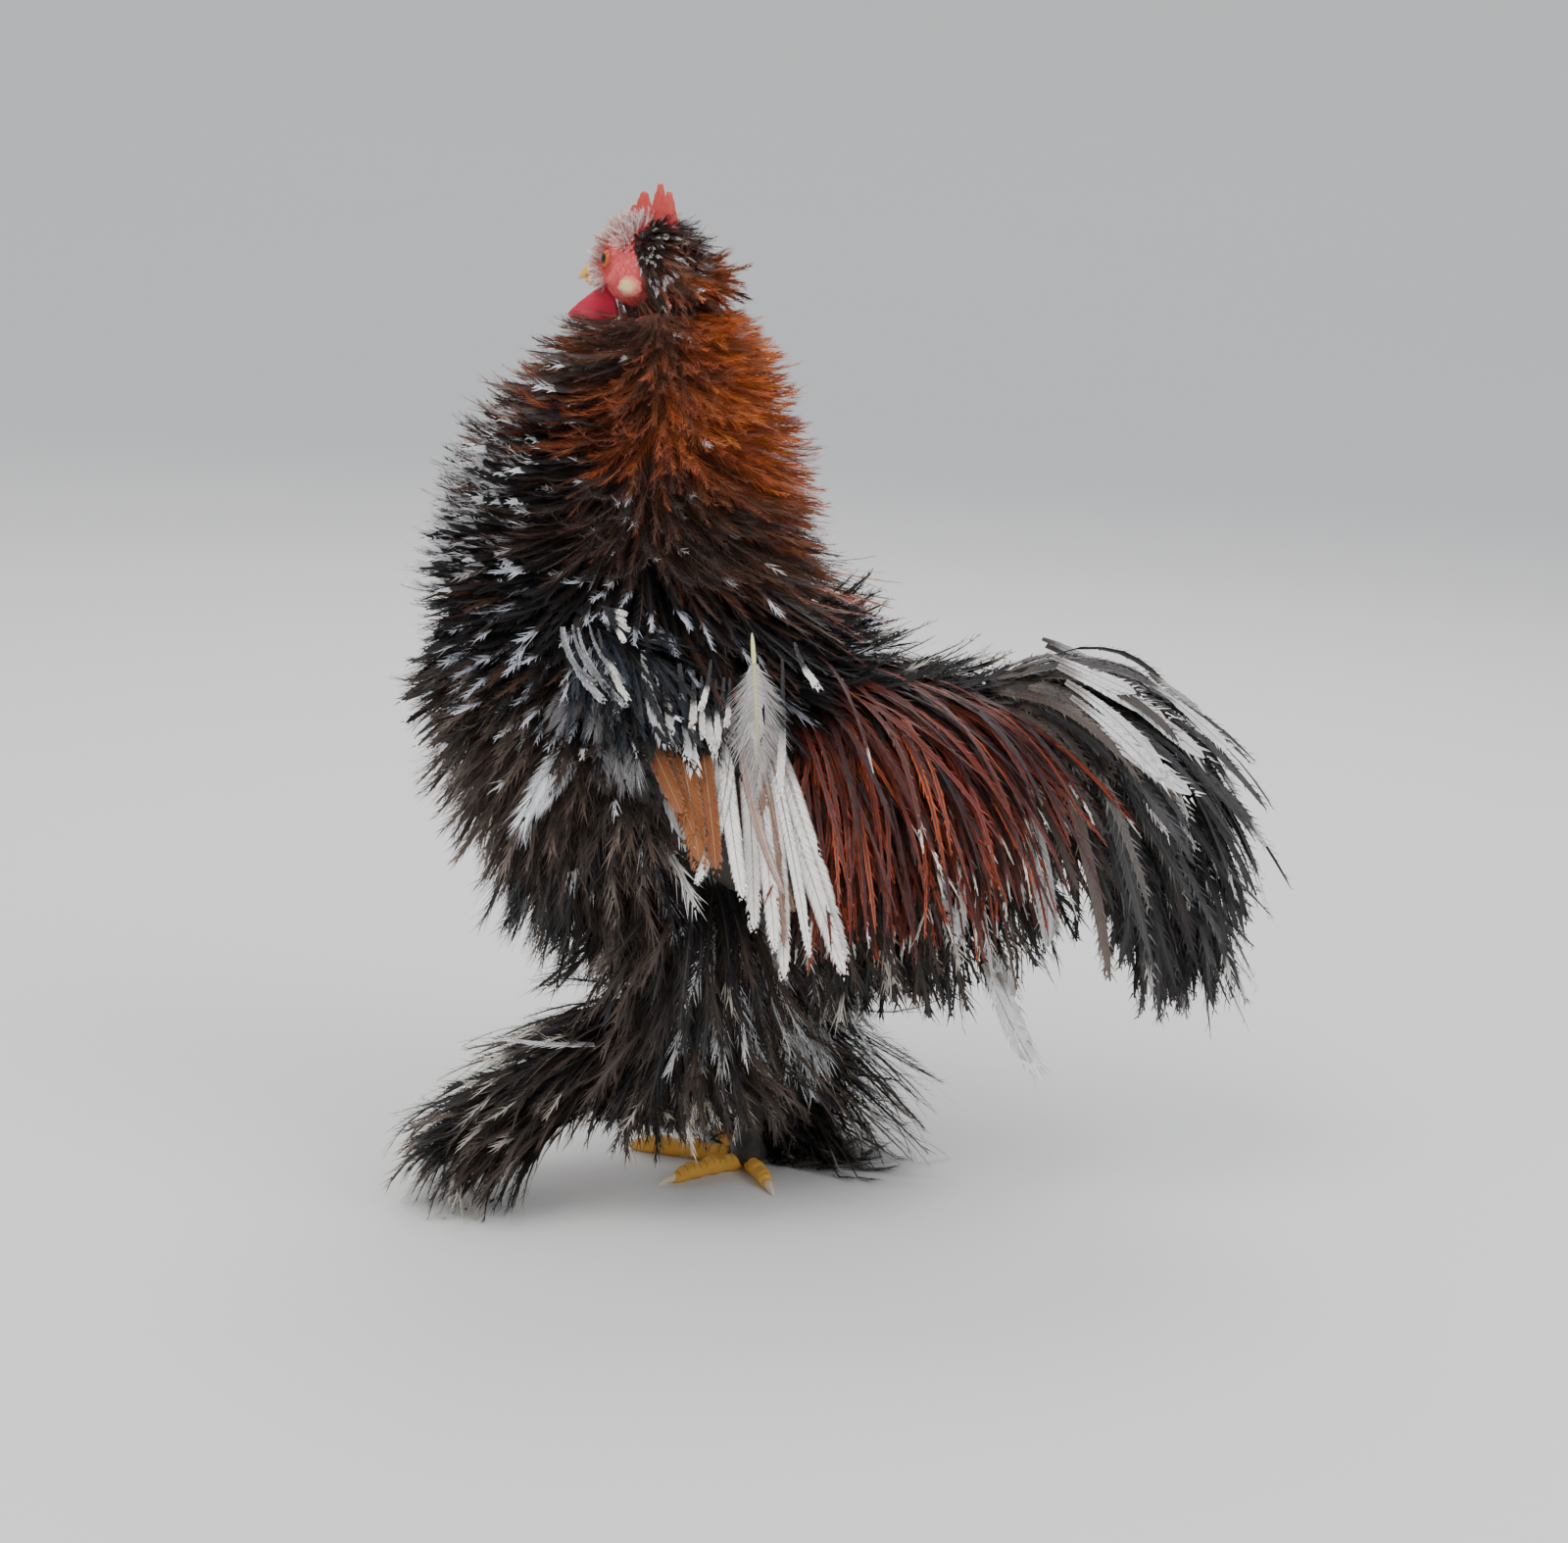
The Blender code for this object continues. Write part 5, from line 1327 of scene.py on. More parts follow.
downTufts = {
    "along": (4.2, 6.8), "barbs": 110, "steps": 8, "shape": "fluff", "loose": 0.5, "closed": 0.5,
    "lean": (38, 26, 15),
    "barb": 0.3, "splits": 0.2, "cup": 0.25, "way": 0, "hang": 0.15,
    "sizes": [(0, 20, 12, 0, 0), (9, 20, 12, 0, 0)],
    "vary": 0.0, "rough": 0.5,
    "rows": [  # root x, y, z, tip x, y, z, width, white
        (-50, -70, 209, -61, -82, 197, 8, 0.3), (-45, -71, 209, -49, -82, 196, 8, 0.35),
        (-55, -68, 208, -66, -80, 201, 7, 0.25),
        (-41, -73, 198, -39, -84, 177, 9, 0.42), (-36, -74, 197, -32, -84, 180, 8, 0.45),
        (-45, -72, 197, -46, -82, 179, 8, 0.3),
        (-57, -67, 190, -73, -78, 161, 10, 1.0), (-54, -67, 184, -65, -76, 164, 6, 0.95),
    ],
}
backCoat = {
    "along": (3.3, 7.6), "rows": 27, "gap": 3.4, "turn": (0, 90), "way": -1, "pull": (0.35, 0, 0),
    "barbs": 15,
    "sizes": [
        (2.6, 46, 7, 10, 10), (3.8, 50, 7, 26, 4), (4.8, 56, 7, 38, 0), (6.0, 60, 7, 46, -4),
        (7.6, 62, 7, 52, -6),
    ],
    "farSizes": [(2.6, 46, 7, 10, 10), (4.5, 50, 7, 20, 10), (6.0, 48, 7, 22, 12), (7.6, 46, 7, 24, 14)],
    "loose": 0.4, "mess": 0.16, "closed": 0.5, "lean": (42, 28, 18),
}


def hug(f):
    # lays the feathers under the folded wings flat
    at = placeOf(f)
    covered = (np.abs(at[:, 1]) > 26) & (at[:, 0] > -36) & (at[:, 0] < 50) & (at[:, 2] > 126)
    for key, share, least in (("lift", 0.1, -0.2), ("curl", 0.1, -0.1), ("length", 0.5, 0.0)):
        f[key] = np.where(covered, f[key] * share + least, f[key])


def dressTorso():
    f = layFeathers(body, breast)
    turn = np.degrees(np.abs(f["turn"]))
    upper = slope(placeOf(f)[:, 2], 246, 262)
    mark(f, 0.16 + 0.45 * slope(-f["t"], -8.1, -7.6), 0.0, 0.03 + 0.72 * slope(turn, 118, 138) * upper, 0.16)
    coatPiece("breastFeathers", [f], paints["breast"], ["torso"])
    k = layFeathers(body, softBreast)
    at = placeOf(k)
    front = slope(-at[:, 0], 40, 70)
    mark(k, 0.56 + 0.24 * front, 0.0, 0.03, 0.15)
    hug(k)
    coatPiece("softBreastFeathers", [k], paints["breast"])
    g = layFeathers(body, flank)
    at = placeOf(g)
    mottled = inPatch(at, [(-22, 152, 15, 0.7), (-8, 134, 15, 0.7), (-30, 168, 10, 0.5), (4, 142, 12, 0.6)])
    mark(g, 0.42 + 0.2 * np.sin(at[:, 0] / 9), 0.0, 0.03, 0.22)
    g["pale"] = (chance.uniform(size=len(at)) < mottled) * chance.uniform(0.35, 0.75, len(at))
    hug(g)
    coatPiece("bellyFeathers", [g], paints["breast"])
    h = layFeathers(body, backCoat)
    h = keepOnly(h, np.degrees(np.abs(h["turn"])) < 14 + 76 * slope(h["t"], 4.3, 5.4))
    at = placeOf(h)
    h = keepOnly(h, (at[:, 2] > 206) | (at[:, 0] < -64))  # the wings cover the rest
    hug(h)
    mark(h, 0.08, 0.01, 0.10, 0.10)
    coatPiece("backFeathers", [h], paints["breast"])


dressTorso()

# saddle, vent and tail

saddle = {
    "along": (0.2, 4.7), "rows": 42, "gap": 2.2, "turn": (4, 112), "way": 0.0, "pull": (0.14, 0, -1.0),
    "barbs": 13,
    "sizes": [(0.2, 74, 4.6, 20, 0), (3.9, 74, 4.6, 20, 0)], "low": 114, "spread": 0.35,
    "farSizes": [(0.2, 74, 4.6, 8, 0), (3.9, 74, 4.6, 4, 0)],
    "loose": 0.45, "mess": 0.15, "droop": 1.5, "curlVary": 12, "liftVary": 6, "lean": (26, 16, 10),
    "closed": 0.58,
    "splits": 0.2, "barb": 0.55, "sway": 0.34, "twist": 0.6, "steps": 8,
}
ridge = {
    "along": (0.0, 3.2), "rows": 22, "gap": 3.4, "turn": (0, 34), "way": -1, "pull": (0.1, 0, 0), "barbs": 15,
    "sizes": [(0.0, 42, 7, 8, 8), (3.2, 46, 7, 12, 10)], "loose": 0.4, "mess": 0.16, "closed": 0.5,
    "lean": (42, 28, 18),
}
vent = {
    "along": (0.0, 3.0), "rows": 20, "gap": 4.0, "turn": (96, 180), "way": -0.35, "pull": (0, 0, -1.0),
    "barbs": 20,
    "sizes": [(0.0, 84, 11, 10, 2), (1.2, 78, 11, 12, 4), (3.0, 60, 11, 14, 10)], "steps": 7,
    "shape": "fluff", "loose": 0.6, "mess": 0.2, "droop": 0.5, "closed": 0.3, "lean": (50, 32, 20),
}
tailTop = {
    "along": (0.0, 4.7), "rows": 26, "gap": 3.6, "turn": (80, 180), "way": 1.0, "pull": (0.1, 0, -0.25),
    "barbs": 20, "steps": 8,
    "sizes": [(0.0, 58, 9, 12, 0), (1.5, 76, 10, 8, -2), (3.0, 80, 10, 8, -4), (4.7, 70, 9, 6, -6)],
    "loose": 0.35, "mess": 0.13, "droop": 1.2, "curlVary": 12, "sway": 0.2, "shaft": 0.45, "closed": 0.62,
    "lean": (42, 30, 18), "splits": 0.2,
}
tailUnder = {
    "along": (0.0, 4.9), "rows": 26, "gap": 4.0, "turn": (0, 100), "way": 0.55, "pull": (0, 0, -0.9),
    "barbs": 20, "steps": 8,
    "sizes": [(0.0, 92, 11, 10, 6), (1.5, 92, 11, 10, 6), (3.0, 86, 11, 10, 6), (4.9, 74, 10, 10, 4)],
    "loose": 0.4, "mess": 0.16, "droop": 0.6, "curlVary": 16, "sway": 0.2, "shaft": 0.45, "closed": 0.5,
    "lean": (44, 30, 18), "splits": 0.2,
}
tailWhites = {
    **tailTop, "splits": 0.03, "closed": 0.8, "shape": "petal", "vary": 0.0, "rough": 0.5,
    "rows": [  # root x, y, z, tip x, y, z, width, white
        (118, -24, 216, 158, -33, 200, 8, 1), (121, -28, 211, 166, -37, 188, 8, 1),
        (123, -31, 206, 160, -40, 183, 7, 1),
        (116, -21, 219, 148, -28, 209, 6, 1), (125, -34, 200, 168, -41, 172, 8, 1),
        (131, -24, 212, 176, -33, 190, 7, 1),
        (158, -20, 208, 184, -26, 190, 6, 0.9), (104, -36, 170, 122, -40, 120, 9, 0.6),
        (108, -36, 172, 130, -40, 116, 9, 0.5),
        (98, -36, 104, 113, -42, 66, 11, 1), (103, -34, 100, 119, -40, 68, 9, 1),
        (84, -44, 150, 90, -48, 118, 6, 0.9), (78, -48, 146, 83, -52, 116, 6, 0.9),
    ],
}


def placeByHand(f, root, tip, out):
    # moves laid feathers to given roots and tips, with their faces turned to a side
    f["root"], f["lie"] = (root + stand) * mm, unit(tip - root)
    f["normal"] = unit(out - f["lie"] * (f["lie"] @ out)[:, None])
    f["length"] = np.linalg.norm(tip - root, axis=1) * mm


def givenFeathers(loft, plan, side):
    # feathers with given roots and tips, mirrored for the other side
    rows = np.array(plan["rows"], float)
    mirror = -sides[side]
    rows[:, (1, 4)] *= mirror
    n = len(rows)
    f = layFeathers(loft, plan, (np.linspace(1, 2, n), np.linspace(1.4, 1.8, n) * mirror))
    placeByHand(f, rows[:, :3], rows[:, 3:6], np.array((0, -mirror, 0.35)))
    f["width"], f["lift"], f["droop"] = rows[:, 6] * mm, np.full(n, 0.05), np.full(n, 0.12)
    f["curl"] = chance.normal(0, 0.12, n)
    mark(f, 0.3)
    f["pale"] = rows[:, 7]
    return f


def dressRear():
    f = layFeathers(body, saddle)
    at = placeOf(f)
    f = keepOnly(f, at[:, 0] > 17 + 0.13 * (226 - at[:, 2]))  # the flight feathers hang in front of it
    at = placeOf(f)
    ridgeward = slope(-np.degrees(np.abs(f["turn"])), -45, -15)
    f["lie"] = unit(f["lie"] + np.array((0.9, 0, 0.1)) * ridgeward[:, None])
    short = chance.uniform(size=len(at)) < 0.4
    share = np.where(short, chance.uniform(0.3, 0.8, len(at)), chance.uniform(0.74, 1.06, len(at)))
    f["length"] = np.minimum((at[:, 2] - saddle["low"]) * 1.16, 104) * share * mm
    red = 0.50 + 0.16 * np.sin(at[:, 0] / 5.0 + at[:, 1] / 7.0) - 0.12 * slope(at[:, 2], 198, 210)
    rear = slope(at[:, 0], 55, 80)
    mark(f, red, 0.0, 0.12 + 0.35 * rear, 0.24)
    coatPiece("saddleFeathers", [f], paints["saddle"], ["rump"])
    g = layFeathers(body, ridge)
    mark(g, 0.08, 0.05, 0.15, 0.1)
    h = layFeathers(body, vent)
    mark(h, 0.45, 0.04, 0.12, 0.2)
    coatPiece("ventFeathers", [g, h], paints["fluff"])
    k = layFeathers(tail, tailTop)
    m = layFeathers(tail, tailUnder)
    for f in (k, m):
        at = placeOf(f)
        start = slope(-at[:, 0], -124, -98)
        mark(f, 0.28 + 0.42 * start, 0.012, 0.12, 0.18)
    whites = [givenFeathers(tail, tailWhites, side) for side in sides]
    coatPiece("tailFeathers", [k, *whites], paints["tail"], ["tail"])
    coatPiece("underTailFeathers", [m], paints["tail"])


dressRear()

# wings: small coverts in rows, flight feathers below, and one loose feather caught on the left wing

coverts = {
    "along": (0.0, 3.4), "rows": 28, "gap": 2.7, "turn": (2, 178), "way": 0.3, "pull": (0.1, 0, -0.9),
    "barbs": 14,
    "sizes": [(0.0, 30, 4.6, 12, 8), (2.1, 32, 4.6, 7, 2), (3.4, 38, 4.8, 8, 2)], "low": 188, "steps": 8,
    "rough": 0.5, "splits": 0.04,
    "loose": 0.4, "mess": 0.10, "droop": 0.25, "closed": 0.5, "curlVary": 8, "lean": (26, 17, 11),
    "barb": 0.5, "liftVary": 4,
}
flight = {
    "along": (1.0, 4.9), "barbs": 46, "steps": 16, "shape": "blade", "loose": 0.22, "closed": 0.94,
    "barb": 0.8,
    "way": 0, "mess": 0.0, "shaft": 0.9, "lean": (46, 34, 24),
    "sizes": [(1.0, 60, 12, 2, 6), (4.9, 60, 12, 2, 8)],
    "splits": 0.05, "rough": 0.5, "liftVary": 1.5, "curlVary": 3, "sway": 0.05, "twist": 0.14, "vary": 0.0,
    "rows": [  # root x, z, tip x, z, width, white
        (-36, 205, -17, 166, 8, 0), (-32, 205, -13, 159, 8, 0), (-28, 206, -9, 154, 8, 0),
        (-23, 206, -6, 151, 8, 0),
        (-18, 206, -4, 150, 8, 0), (-14, 206, -1, 148, 7, 0), (-7, 203, -1, 145, 7, 1),
        (-4, 202, 2, 137, 6.5, 1),
        (-1, 201, 4, 141, 5, 0.95), (2, 200, 9, 137, 4, 0.45), (3, 199, 15, 127, 6.5, 1),
        (5, 201, 19, 132, 4, 0.4),
        (6, 199, 22, 120, 6.5, 1), (8, 198, 27, 122, 4.5, 0.42), (9, 198, 31, 111, 7, 1),
        (11, 198, 35, 119, 5, 0.9),
        (12, 197, 40, 111, 7, 1), (14, 196, 45, 117, 6.5, 1),
    ],
}
paddles = {  # the few white and cream feathers that hang over the wing
    "form": {
        "barbs": 22, "steps": 12, "shape": "petal", "loose": 0.22, "closed": 0.8, "barb": 0.8,
        "lean": (34, 24, 14),
        "splits": 0.0, "rough": 0.5,
    },
    "rows": [  # as above, with how far the tip bends back; a white of 2 is a white end only
        (-33, 222, -29, 190, 6.0, 1, 0.1), (-20, 218, -14, 182, 5.4, 2, 0.1), (-26, 218, -22, 195, 3.4, 2, 0),
        (-15, 216, -13, 197, 3.0, 2, 0), (-9, 220, -9, 203, 2.6, 2, 0.1), (-10, 212, -9, 190, 3.2, 2, 0),
        (-4, 214, -5, 188, 3.2, 2, 0),
        (-12, 214, -11, 194, 2.6, 2, 0), (-7, 213, -5, 193, 2.4, 2, 0), (-2, 214, -1, 198, 2.4, 2, 0),
        (-17, 206, -14, 186, 3.4, 2, 0),
        (-33, 194, -14, 157, 6.5, 0.5, 0.1),
        (-62, 229, -60, 206, 2.6, 0.42, 1.1), (-61, 229, -57, 200, 3.2, 0.5, 0.9),
        (-58, 230, -54, 206, 2.4, 0.42, 1.0),
        (-56, 229, -49, 198, 3.0, 0.5, 0.9), (-52, 230, -46, 207, 2.2, 0.44, 0.8),
        (-49, 229, -42, 203, 2.6, 2, 0.6),
        (-47, 236, -38, 233, 2.2, 2, 0), (-47, 235, -37, 230, 2.2, 2, 0), (-48, 237, -38, 236, 2.2, 2, 0),
        (-46, 234, -38, 227, 2.2, 2, 0),
        (16, 222, 20, 176, 3.4, 2, 0), (20, 228, 25, 212, 3.0, 2, 0.3),
    ],
}
looseFeather = {
    "along": (1.0, 4.9), "top": (5, -79, 231), "lie": (0.12, -0.11, -1.0), "length": 55, "width": 17,
    "quill": 11, "barbs": 320, "steps": 14,
    "shape": "bulb", "loose": 1.2, "closed": 0.5, "shaft": 0.9, "lean": (64, 46, 20), "splits": 0.3,
    "late": 1.2, "barb": 0.3,
    "hang": 0.3, "rough": 2.0, "cup": 0.3,
}


def hangRows(side, rows, layers):
    # feathers with given roots and tips, on the wing's outer side
    sign = sides[side]
    rows = np.array(rows, float)
    order = np.linspace(0, 1, len(rows))
    f = layFeathers(wings[side], flight, (1.2 + 2.2 * order, np.full(len(rows), math.radians(90) * sign)))
    layer = layers[0] + (layers[1] - layers[0]) * order
    root = np.stack([rows[:, 0], sign * layer, rows[:, 1]], 1)
    tip = np.stack([rows[:, 2], sign * (layer + layers[2]), rows[:, 3]], 1)
    placeByHand(f, root, tip, np.array((0, sign, 0.0)))
    f["width"] = rows[:, 4] * mm
    mark(f, 0.9, 0, 0, 0.05)
    f["pale"] = rows[:, 5] * 0.97
    return f


def dressWing(side):
    f = layFeathers(wings[side], dict(coverts, flip=sides[side]))
    x, _, z = placeOf(f).T
    low = coverts["low"] - 14 * slope(x, -10, 4)
    keep = (z > low + 8) & (x > -60 + (228 - z) * 0.75)
    f = keepOnly(f, keep)
    f["length"] = np.minimum(f["length"], (z - low)[keep] * 1.15 * mm)
    mark(f, 0.3, 0.0, 0.03 + 0.12 * slope(-z[keep], -208, -194), 0.2)
    g = hangRows(side, flight["rows"], (75, 77, 12))
    h = hangRows(side, paddles["rows"], (74, 76, 9.5))
    white, bend = np.array(paddles["rows"])[:, 5:7].T
    h["plan"] = dict(paddles["form"], along=flight["along"])
    h["curl"] = np.abs(chance.normal(size=len(h["t"]))) * 0.2
    h["sway"] = (bend + chance.normal(size=len(bend)) * 0.1) * sides[side]
    g["sway"] = chance.normal(size=len(g["t"])) * 0.17
    g["curl"] += chance.normal(size=len(g["t"])) * 0.10
    g["width"] *= chance.uniform(0.85, 1.2, len(g["t"]))
    h["tone"], h["pale"], h["tipped"] = h["tone"] * 0.12, np.where(white > 1, 0, white), (white > 1) * 1.0
    coatPiece("wingFeathers_" + side, [f, h], paints["coverts"], ["wing_" + side])
    coatPiece("flightFeathers_" + side, [g], paints["wing"])


def catchLooseFeather():
    # a moulted feather hangs on the left wing with its bare quill up
    look = looseFeather
    f = layFeathers(wings["left"], flight, (np.array([1.6]), np.array([-1.5])))
    f["plan"] = look
    lie, out = unit(np.array([look["lie"]], float)), np.array((0.1, -1.0, 0.0))
    f["lie"], f["normal"] = lie, unit(out - lie * (lie @ out)[:, None])
    f["root"] = (np.array([look["top"]]) + stand) * mm + lie * look["quill"] * mm
    f["length"], f["width"] = np.array([look["length"] - look["quill"]]) * mm, np.array([look["width"]]) * mm
    for key, value in (("lift", 0.02), ("curl", 0.12), ("droop", 0.05), ("sway", 0.12), ("twist", 0.1)):
        f[key] = np.array([value])
    f["tone"], f["pale"], f["tipped"] = np.array([0.4]), np.array([0.38]), np.array([0.0])
    coatPiece("looseFeather", [f], paints["loose"])
    start = f["root"][0]
    end = start - lie[0] * look["quill"] * mm
    rows = []
    for share, radius in ((0, 0.75), (0.4, 0.85), (0.8, 0.6), (1, 0.12)):
        rows.append((*((start + (end - start) * share) / mm - stand), radius, radius))
    quill = newPiece("looseQuill", *Loft(lineRows(rows)).mesh(12, 10))
    paint = Finish("quillHorn", Specular_IOR_Level=0.5, Subsurface_Weight=0.1, Subsurface_Scale=0.001)
    grain = paint.noise(600.0, 3.0)
    shade = paint.mix(paint.reach(grain, 0.35, 0.7), (0.66, 0.72, 0.20), (0.85, 0.84, 0.55))
    paint.bump(grain, 0.15, 0.0002)
    finishPiece(quill, paint.end(shade, grain, 0.25, 0.4))


for side in sides:
    dressWing(side)
    tufts = givenFeathers(body, downTufts, side)
    tufts["droop"] *= 2
    tufts["tone"] = chance.uniform(0.3, 0.75, len(tufts["t"]))
    coatPiece("downTufts_" + side, [tufts], paints["down"])
catchLooseFeather()

# legs: thigh fluff, hock fans and the feathered shanks and feet

thighCoat = {
    "along": (0.4, 3.9), "rows": 20, "gap": 3.6, "turn": (0, 180), "way": 1, "pull": (0, 0, -0.5),
    "barbs": 20, "steps": 5,
    "sizes": [(0.4, 50, 10, 24, 20), (2.0, 52, 10, 30, 20), (3.9, 50, 9, 30, 20)],
    "shape": "fluff", "loose": 0.6, "mess": 0.24, "droop": 0.5, "closed": 0.32, "lean": (34, 21, 12),
    "barb": 0.6,
}
hockFan = {
    "along": (0.0, 3.6), "barbs": 22, "loose": 0.6, "mess": 0.1, "closed": 0.3, "way": 0,
    "sizes": [(0.0, 66, 9, 6, 0), (3.6, 56, 8.5, 6, 0)], "lean": (32, 20, 12), "sway": 0.45, "droop": 0.3,
    "steps": 6,
    "count": {"left": 360, "right": 420}, "curlVary": 26, "barb": 0.5,
}
footFan = {
    "along": (0.8, 5.0), "way": 0, "barbs": 22, "loose": 0.5, "mess": 0.10, "steps": 7,
    "sizes": [(0.8, 58, 8, 6, -36), (3.0, 58, 8, 6, -38), (5.0, 44, 7, 4, -34)], "curlVary": 16, "sway": 0.35,
    "shaft": 0.3, "droop": 0.15, "count": {"left": 620, "right": 260}, "closed": 0.46, "lean": (30, 20, 12),
    "barb": 0.55,
    # down the raised shank and along its toes
    "line": [(-15, -36, 84), (-34, -35, 60), (-52, -35, 46), (-78, -35, 38)],
}
fanAims = {  # from ahead round to the outer side, and height, in degrees
    "foot": {"left": ((-14, 36), (-34, -6)), "right": ((60, 175), (-34, -8))},
    "hock": {"left": ((50, 190), (-78, -35)), "right": ((90, 190), (-72, -28))},
}


def keepAbove(f, low):
    # shortens the feathers whose tips would come below a height
    drop = -(f["lie"][:, 2] * np.cos(f["lift"]) + f["normal"][:, 2] * np.sin(f["lift"])) + 0.5 * f["droop"]
    room = (f["root"][:, 2] / mm - low) / np.maximum(drop, 0.05)
    f["length"] = np.minimum(f["length"], np.maximum(room, 9) * mm * chance.uniform(0.85, 1.1, len(room)))


def aimFeathers(f, side, aims):
    (first, last), (low, high) = aims[side]
    count = len(f["t"])
    azimuth = np.radians(chance.uniform(first, last, count))
    height = np.radians(chance.uniform(low, high, count))
    ahead, outward = -np.cos(azimuth) * np.cos(height), sides[side] * np.sin(azimuth) * np.cos(height)
    f["lie"] = unit(np.stack([ahead, outward, np.sin(height)], 1))
    up = np.array((0.05, 0, 1.0))
    f["normal"] = unit(up - f["lie"] * (f["lie"] @ up)[:, None])
    return azimuth


def dressLeg(side):
    f = layFeathers(thighs[side], thighCoat)
    at = placeOf(f)
    streaked = [(10, 112, 14, 0.4), (24, 94, 14, 0.6), (-4, 96, 8, 0.3)]
    mark(f, 0.42 + 0.15 * np.sin(at[:, 0] / 6), 0.9 * inPatch(at, streaked), 0.06, 0.2)
    if side == "left":
        keepAbove(f, 34)
    count = hockFan["count"][side]
    t = chance.uniform(*hockFan["along"], count)
    g = layFeathers(shanks[side], hockFan, (t, chance.uniform(-math.pi, math.pi, count)))
    azimuth = aimFeathers(g, side, fanAims["hock"])
    g["length"] *= 1 + 0.25 * slope(np.degrees(azimuth), 140, 180)
    if side == "left":
        keepAbove(g, 34)
    mark(g, 0.52, 0.02, 0.18, 0.24)
    coatPiece("thighFeathers_" + side, [f, g], paints["fluff"], ["thigh_" + side, "hock_" + side])
    count = footFan["count"][side]
    t = chance.uniform(*footFan["along"], count)
    h = layFeathers(shanks[side], footFan, (t, chance.uniform(-math.pi, math.pi, count)))
    if side == "left":
        line = np.array(footFan["line"], float)
        share = slope(t, *footFan["along"]) * (len(line) - 1)
        h["root"] = (throughRows(line, share) + chance.normal(size=(count, 3)) * 3.5 + stand) * mm
    azimuth = aimFeathers(h, side, fanAims["foot"])
    h["lie"][:, 2] += 0.08 * (1 - slope(t, 0.8, 3.0)) if side == "left" else 0
    h["lie"] = unit(h["lie"])
    h["length"] *= 0.75 + 0.3 * np.cos(azimuth).clip(0, 1)
    mark(h, 0.50, 0.03, 0.28, 0.26)
    coatPiece("footFeathers_" + side, [h], paints["fluff"], ["shank_" + side])


for side in sides:
    dressLeg(side)

# head feathers, and pale bristles round the face

headCoat = {
    "along": (0.05, 3.6), "rows": 36, "gap": 1.2, "turn": (0, 180), "way": -0.8, "pull": (0.4, 0.3, -0.9),
    "barbs": 10, "steps": 5,
    "sizes": [(0.1, 19, 3.0, 8, 16), (1.5, 17, 2.6, 10, 16), (2.2, 13, 2.3, 10, 18), (3.6, 9, 2.0, 14, 20)],
    "loose": 0.5, "mess": 0.13, "sunk": 0.4, "closed": 0.45, "lean": (30, 18, 11), "barb": 0.42,
    "liftVary": 6, "curlVary": 12,
}
nape = {  # from the back of the head into the neck
    "along": (0.05, 2.0), "rows": 13, "gap": 1.7, "turn": (0, 105), "way": -0.8, "pull": (0.7, 0.1, -0.5),
    "barbs": 22, "steps": 6,
    "sizes": [(0.05, 20, 4.6, 8, 20), (1.0, 18, 4.4, 8, 20), (2.0, 17, 4.2, 10, 20)],
    "farSizes": [(0.05, 38, 5.5, 30, 28), (1.0, 36, 5.2, 30, 26), (2.0, 30, 5, 28, 22)],
    "loose": 0.55, "mess": 0.12, "sunk": 0.4, "closed": 0.3, "lean": (26, 16, 10), "barb": 0.4,
    "liftVary": 6, "curlVary": 12,
}
jaw = {  # hangs below the earlobe and hides the throat
    "along": (1.2, 5.2), "rows": 22, "gap": 1.4, "turn": (0, 84), "way": -0.4, "pull": (0.3, 0, -0.8),
    "barbs": 14, "steps": 5,
    "sizes": [(1.2, 27, 3.6, 26, 14), (3.2, 23, 3.2, 28, 14), (5.2, 15, 2.8, 34, 14)],
    "loose": 0.5, "mess": 0.2, "sunk": 0.4, "closed": 0.35, "lean": (28, 18, 11), "barb": 0.4,
}
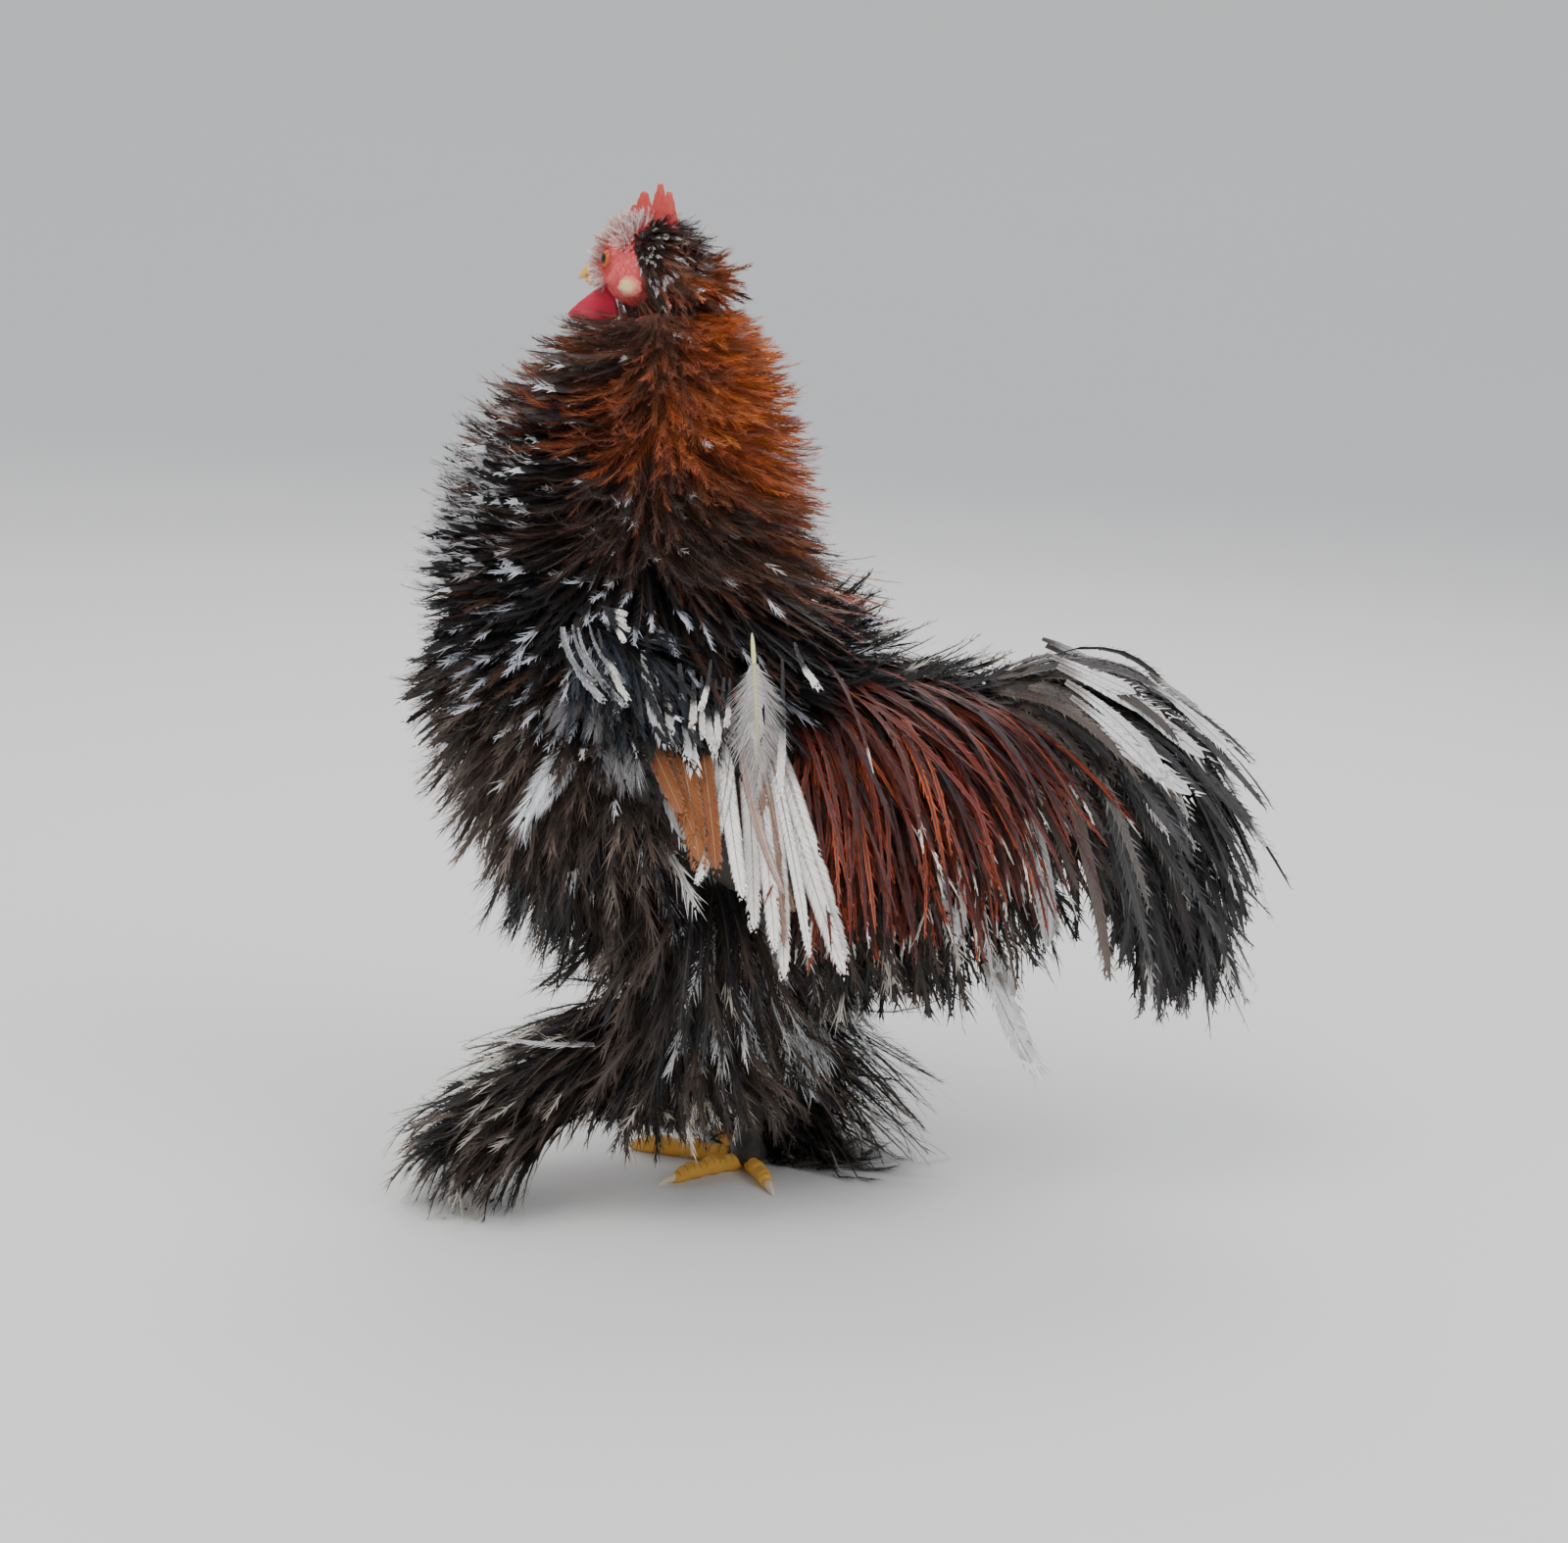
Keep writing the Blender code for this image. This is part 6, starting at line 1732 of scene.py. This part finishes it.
bristles = {
    "along": (2.6, 7.0), "rows": 34, "gap": 1.0, "turn": (60, 180), "way": -0.5, "pull": (-0.2, 0, 0.3),
    "barbs": 7, "steps": 4,
    "sizes": [(2.6, 6.5, 1.8, 34, 40), (4.5, 6.5, 1.7, 44, 40), (7.0, 4.2, 1.4, 52, 40)], "loose": 0.5,
    "mess": 0.5,
    "sunk": 0.3, "closed": 0.5, "lean": (34, 24, 16), "barb": 0.34,
}


def dressHead():
    f = layFeathers(skull, headCoat)
    local = inHead(f["root"])
    edge = np.interp(local[:, 2], (-16, -9, -2, 4, 12), (-3, -10, -12, -10, -3))  # the bare face ends here
    f = keepOnly(f, local[:, 0] < edge)
    local = inHead(f["root"])
    back = slope(-local[:, 0], 10, 18)
    mark(f, 0.38 + 0.25 * back, 0.0, 0.24, 0.15)
    n = layFeathers(skull, nape)
    local = inHead(n["root"])
    edge = np.interp(local[:, 2], (-16, -8, 4, 12), (-11, -14, -12, -8))
    keep = local[:, 0] < edge
    n = keepOnly(n, keep)
    low = slope(-local[keep, 2], -6, 6)
    mark(n, 0.36 + 0.28 * low, 0.0, 0.10, 0.14)
    j = layFeathers(skull, jaw)
    local = inHead(j["root"])
    under = local[:, 2] < np.interp(local[:, 0], (-8, -2, 2), (-9, -11.5, -10.5))
    j = keepOnly(j, under & (local[:, 0] < 15))
    mark(j, 0.42, 0.0, 0.15, 0.16)
    g = layFeathers(skull, bristles)
    local = inHead(g["root"])
    eyeGap = np.hypot(local[:, 0] - head["eye"][0], local[:, 2] - head["eye"][2])
    combFree = (np.abs(local[:, 1]) > 1.6) | (local[:, 0] > 8)
    high = np.degrees(np.abs(g["turn"])) > 112
    eyeFree = (eyeGap > 7) | (np.abs(local[:, 1]) < 5)
    g = keepOnly(g, combFree & eyeFree & (high | (local[:, 0] > 11)) & (local[:, 0] < 19))
    mark(g, 0.7, 0, 0, 0.3)
    coatPiece("headFeathers", [f], paints["headFeathers"], ["head"])
    coatPiece("napeFeathers", [n, j], paints["hackle"])
    coatPiece("faceBristles", [g], paints["bristles"])


dressHead()
